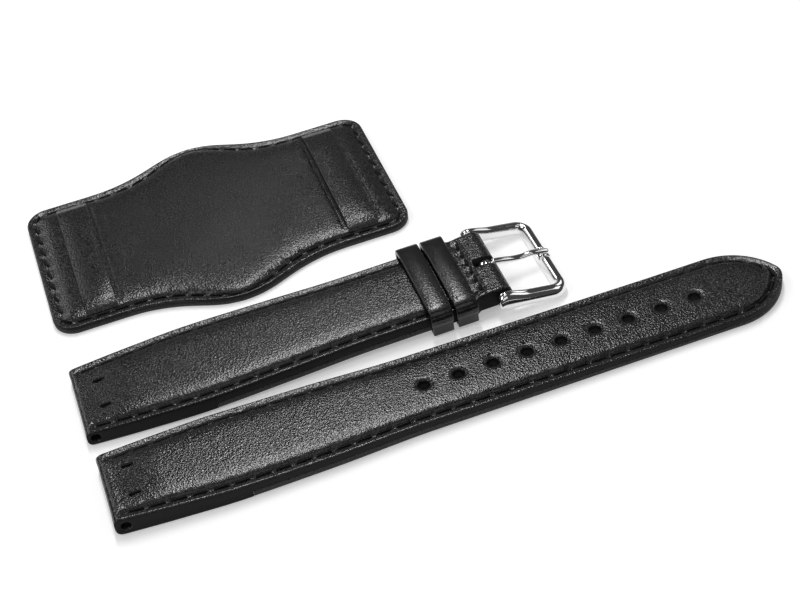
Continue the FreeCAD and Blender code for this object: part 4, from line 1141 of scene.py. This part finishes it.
def grain_group():
    """Fine pebbled grain: its height, slow patches for the polish, and specks for the dye."""
    made = group("grain", [("Scale", "NodeSocketFloat", 2800.0), ("Creases", "NodeSocketFloat", 0.2)],
                 [("Height", "NodeSocketFloat"), ("Patch", "NodeSocketFloat"), ("Speck", "NodeSocketFloat")])
    nodes, link = made.nodes, made.links.new
    entry, leave = nodes.new("NodeGroupInput"), nodes.new("NodeGroupOutput")
    where = nodes.new("ShaderNodeTexCoord")

    def noise(scale, detail):
        cloud = nodes.new("ShaderNodeTexNoise")
        cloud.inputs["Scale"].default_value = scale
        cloud.inputs["Detail"].default_value = detail
        link(where.outputs["Object"], cloud.inputs["Vector"])
        return cloud

    cells = nodes.new("ShaderNodeTexVoronoi")
    cells.feature = "SMOOTH_F1"
    cells.inputs["Smoothness"].default_value = 0.6
    link(where.outputs["Object"], cells.inputs["Vector"])
    link(entry.outputs["Scale"], cells.inputs["Scale"])
    fine, broad, speck = noise(5200, 2), noise(90, 2), noise(3900, 1)

    def scaled_sum(value, factor, rest):
        both = nodes.new("ShaderNodeMath")
        both.operation = "MULTIPLY_ADD"
        link(value, both.inputs[0])
        if isinstance(factor, float):
            both.inputs[1].default_value = factor
        else:
            link(factor, both.inputs[1])
        link(rest, both.inputs[2])
        return both.outputs[0]

    pebbles = scaled_sum(fine.outputs["Fac"], 0.5, cells.outputs["Distance"])
    link(scaled_sum(broad.outputs["Fac"], entry.outputs["Creases"], pebbles), leave.inputs["Height"])
    link(broad.outputs["Fac"], leave.inputs["Patch"])
    link(speck.outputs["Fac"], leave.inputs["Speck"])
    return made


grain = grain_group()
print("grain gives", [item.name for item in grain.interface.items_tree if item.in_out == "OUTPUT"])


# %% Leather
def spread(nodes, link, value, low, high, around=0.2):
    """A noise value around one half, spread between low and high."""
    made = nodes.new("ShaderNodeMapRange")
    made.inputs["From Min"].default_value = 0.5 - around
    made.inputs["From Max"].default_value = 0.5 + around
    made.inputs["To Min"].default_value = low
    made.inputs["To Max"].default_value = high
    link(value, made.inputs["Value"])
    return made.outputs[0]


def leather(name, colour, dull, grain_scale, depth, creases=0.2, gloss=0.5, specks=0.9):
    """Dyed leather. specks: how far the dye differs from pore to pore."""
    made = bpy.data.materials.new(name)
    made.use_nodes = True
    nodes, link = made.node_tree.nodes, made.node_tree.links.new
    skin = nodes["Principled BSDF"]
    skin.inputs["Specular IOR Level"].default_value = gloss
    surface = nodes.new("ShaderNodeGroup")
    surface.node_tree = grain
    surface.inputs["Scale"].default_value = grain_scale
    surface.inputs["Creases"].default_value = creases
    dye = nodes.new("ShaderNodeMix")
    dye.data_type = "RGBA"
    dye.inputs[6].default_value = (*[c * (1 - specks) for c in colour], 1)
    dye.inputs[7].default_value = (*[c * (1 + specks) for c in colour], 1)
    link(spread(nodes, link, surface.outputs["Speck"], 0, 1), dye.inputs["Factor"])
    link(dye.outputs[2], skin.inputs["Base Color"])
    bump = nodes.new("ShaderNodeBump")
    bump.inputs["Strength"].default_value = 1.0
    bump.inputs["Distance"].default_value = depth
    link(surface.outputs["Height"], bump.inputs["Height"])
    link(bump.outputs["Normal"], skin.inputs["Normal"])
    polish = nodes.new("ShaderNodeMath")
    polish.operation = "ADD"
    link(spread(nodes, link, surface.outputs["Patch"], dull - 0.02, dull + 0.02, 0.5), polish.inputs[0])
    link(spread(nodes, link, surface.outputs["Speck"], -0.12 * specks, 0.12 * specks), polish.inputs[1])
    link(polish.outputs[0], skin.inputs["Roughness"])
    return made


print("leather is ready to be dyed")


# %% Thread and steel
def new_skin(name, colour, dull, gloss, metal=0.0):
    """A material with its plain values set. Gives the material, its shader, and its nodes and links."""
    made = bpy.data.materials.new(name)
    made.use_nodes = True
    skin = made.node_tree.nodes["Principled BSDF"]
    skin.inputs["Base Color"].default_value = (*colour, 1)
    skin.inputs["Roughness"].default_value = dull
    skin.inputs["Metallic"].default_value = metal
    skin.inputs["Specular IOR Level"].default_value = gloss
    return made, skin, made.node_tree.nodes, made.node_tree.links.new


def thread(name, colour, dull, twist):
    """Waxed thread. twist: length of one turn of its plies, m."""
    made, skin, nodes, link = new_skin(name, colour, dull, 0.2)
    where, plies = nodes.new("ShaderNodeTexCoord"), nodes.new("ShaderNodeTexWave")
    bump = nodes.new("ShaderNodeBump")
    plies.bands_direction = "DIAGONAL"
    plies.inputs["Scale"].default_value = math.pi / (10 * twist)
    plies.inputs["Distortion"].default_value = 1.5
    bump.inputs["Distance"].default_value = 0.00004
    link(where.outputs["Object"], plies.inputs["Vector"])
    link(plies.outputs["Fac"], bump.inputs["Height"])
    link(bump.outputs["Normal"], skin.inputs["Normal"])
    wax = nodes.new("ShaderNodeMapRange")
    wax.inputs["To Min"].default_value = dull - 0.12
    wax.inputs["To Max"].default_value = dull + 0.12
    link(plies.outputs["Fac"], wax.inputs["Value"])
    link(wax.outputs[0], skin.inputs["Roughness"])
    return made


def metal(name, colour, dull, marks, stretch):
    """Polished or drawn steel. marks: how far its polish varies, stretch: size of the marks on each axis."""
    made, skin, nodes, link = new_skin(name, colour, dull, 0.5, 1.0)
    where, along = nodes.new("ShaderNodeTexCoord"), nodes.new("ShaderNodeMapping")
    lines = nodes.new("ShaderNodeTexNoise")
    along.inputs["Scale"].default_value = stretch
    lines.inputs["Scale"].default_value = 900.0
    lines.inputs["Detail"].default_value = 3.0
    link(where.outputs["Object"], along.inputs["Vector"])
    link(along.outputs["Vector"], lines.inputs["Vector"])
    link(spread(nodes, link, lines.outputs["Fac"], dull - marks, dull + marks), skin.inputs["Roughness"])
    return made


calf = leather("black_calf", (0.0105, 0.01, 0.0105), 0.235, 2800.0, 0.00005, 0.12)
lining_calf = leather("lining_leather", (0.03, 0.027, 0.03), 0.6, 2600.0, 0.00004, 0.1, 0.3)
keeper_calf = leather("keeper_leather", (0.009, 0.0087, 0.009), 0.2, 2800.0, 0.000025, 0.1, 0.5, 0.4)
# darker, duller dye of the cut edges; on the walls of holes, tunnels and slot it is painted shade
edge_dye_and_hole_shade = leather("edge_dye_and_hole_shade", (0.007, 0.007, 0.007), 0.6, 3600.0, 0.00004, 0.1, 0.16, 0.3)
waxed_thread = thread("waxed_thread", (0.004, 0.004, 0.004), 0.6, 0.0003)
steel = metal("polished_steel", (0.8, 0.8, 0.8), 0.06, 0.025, (1, 1, 1))
drawn_steel = metal("drawn_steel", (0.6, 0.6, 0.6), 0.24, 0.1, (4, 0.1, 4))
print("seven finishes made")

# %% Give each piece its finish
UPRIGHT = 0.3                     # a face whose normal rises less than this is a cut edge
finishes = {"leather": (calf, [long_upper, short_upper, pad_upper, left_band, right_band]),
            "lining_leather": (lining_calf, [long_lining, short_lining, pad_lining]),
            "keeper_leather": (keeper_calf, [fixed_keeper, free_keeper]),
            "thread": (waxed_thread, [long_seam, short_seam, pad_seam, long_tacks, short_tacks, fold_row]),
            "polished_steel": (steel, [buckle_bow, tang, tang_eye])}
for slot_name, (finish, wearers) in finishes.items():
    for wearer in wearers:
        wearer.data.materials.clear()
        wearer.data.materials.append(finish)
for name in ("spring_bar_tube", "spring_bar_pin_far", "spring_bar_pin_near", "spring_bar_spring"):
    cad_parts[name].data.materials.clear()
    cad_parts[name].data.materials.append(drawn_steel)
# upright faces take the darker edge dye: real dye on the outer edges, painted shade on the walls of holes,
# tunnels and slot
for upper in (long_upper, short_upper, pad_upper, left_band, right_band):
    upper.data.materials.append(edge_dye_and_hole_shade)
    for face in upper.data.polygons:
        if abs(face.normal.z) < UPRIGHT:
            face.material_index = 1
print("finishes:", list(finishes))

# %% [markdown]
# ## Table, background and light
# The photograph is a product shot on white. Its main light is a tall narrow lamp high behind the
# straps, with weaker cards round about, and the shadows are faint. The white background is the
# table itself, which is large, and which glows a little more away from the straps, where the lamps
# no longer reach. The world is dim, so that the steel has something dark to mirror, as it has in
# the photograph.

# %% The table
table_data = bpy.data.meshes.new("table")
TABLE_HALF = 60                   # half the table's width, m, so that its end is never seen
corners = [(x * TABLE_HALF, y * TABLE_HALF, 0) for x, y in ((-1, -1), (1, -1), (1, 1), (-1, 1))]
table_data.from_pydata(corners, [], [(0, 1, 2, 3)])
table = bpy.data.objects.new("table", table_data)
bpy.context.collection.objects.link(table)
table_paint = bpy.data.materials.new("white_table")
table_paint.use_nodes = True
nodes, link = table_paint.node_tree.nodes, table_paint.node_tree.links.new
nodes["Principled BSDF"].inputs["Base Color"].default_value = (0.9, 0.9, 0.9, 1)
nodes["Principled BSDF"].inputs["Roughness"].default_value = 0.7
glow = nodes.new("ShaderNodeEmission")
spot, reach = nodes.new("ShaderNodeTexCoord"), nodes.new("ShaderNodeVectorMath")
fade = nodes.new("ShaderNodeMapRange")
reach.operation = "LENGTH"
for socket, value in (("From Min", 0.22), ("From Max", 0.9), ("To Min", 0.32), ("To Max", 0.95)):
    fade.inputs[socket].default_value = value
link(spot.outputs["Object"], reach.inputs[0])
link(reach.outputs["Value"], fade.inputs["Value"])
link(fade.outputs[0], glow.inputs["Strength"])
add = nodes.new("ShaderNodeAddShader")
link(nodes["Principled BSDF"].outputs[0], add.inputs[0])
link(glow.outputs[0], add.inputs[1])
link(add.outputs[0], nodes["Material Output"].inputs["Surface"])
table.data.materials.append(table_paint)
print("table", 2 * TABLE_HALF, "m wide")

# %% The world and the lamps
world = bpy.data.worlds.new("studio")
bpy.context.scene.world = world
world.use_nodes = True
nodes, link = world.node_tree.nodes, world.node_tree.links.new
nodes["Background"].inputs["Color"].default_value = (1, 1, 1, 1)
nodes["Background"].inputs["Strength"].default_value = 0.06


def softbox(name, turn, rise, far, size, brightness):
    """A soft lamp. turn: degrees to the right of straight behind the straps, rise: above the table."""
    turn, rise = math.radians(turn), math.radians(rise)
    lamp = bpy.data.lights.new(name, "AREA")
    lamp.shape = "RECTANGLE"
    lamp.size, lamp.size_y = size
    lamp.energy = brightness * math.pi * size[0] * size[1]
    made = bpy.data.objects.new(name, lamp)
    bpy.context.collection.objects.link(made)
    ahead = Vector((math.cos(rise) * math.sin(turn), math.cos(rise) * math.cos(turn), math.sin(rise)))
    made.location = ahead * far
    made.rotation_mode = "QUATERNION"
    made.rotation_quaternion = (-made.location).to_track_quat("-Z", "Y")
    return made


softbox("main_strip", 11.5, 66, 0.9, (0.075, 0.46), 33.0)
softbox("left_lamp", -97, 48, 0.9, (0.4, 0.4), 3.0)
softbox("left_back_card", -33, 33, 0.9, (0.28, 0.3), 3.0)
softbox("right_back_card", 62, 35, 0.9, (0.3, 0.3), 1.5)
softbox("overhead_fill", 170, 84, 1.2, (0.7, 0.5), 0.9)
softbox("back_card", 0, 18, 1.2, (1.6, 0.5), 0.15)
softbox("front_card", 180, 40, 1.2, (0.9, 0.5), 0.9)
softbox("right_card", 105, 42, 1.1, (0.5, 0.5), 1.2)
bpy.context.scene.view_settings.view_transform = "Standard"
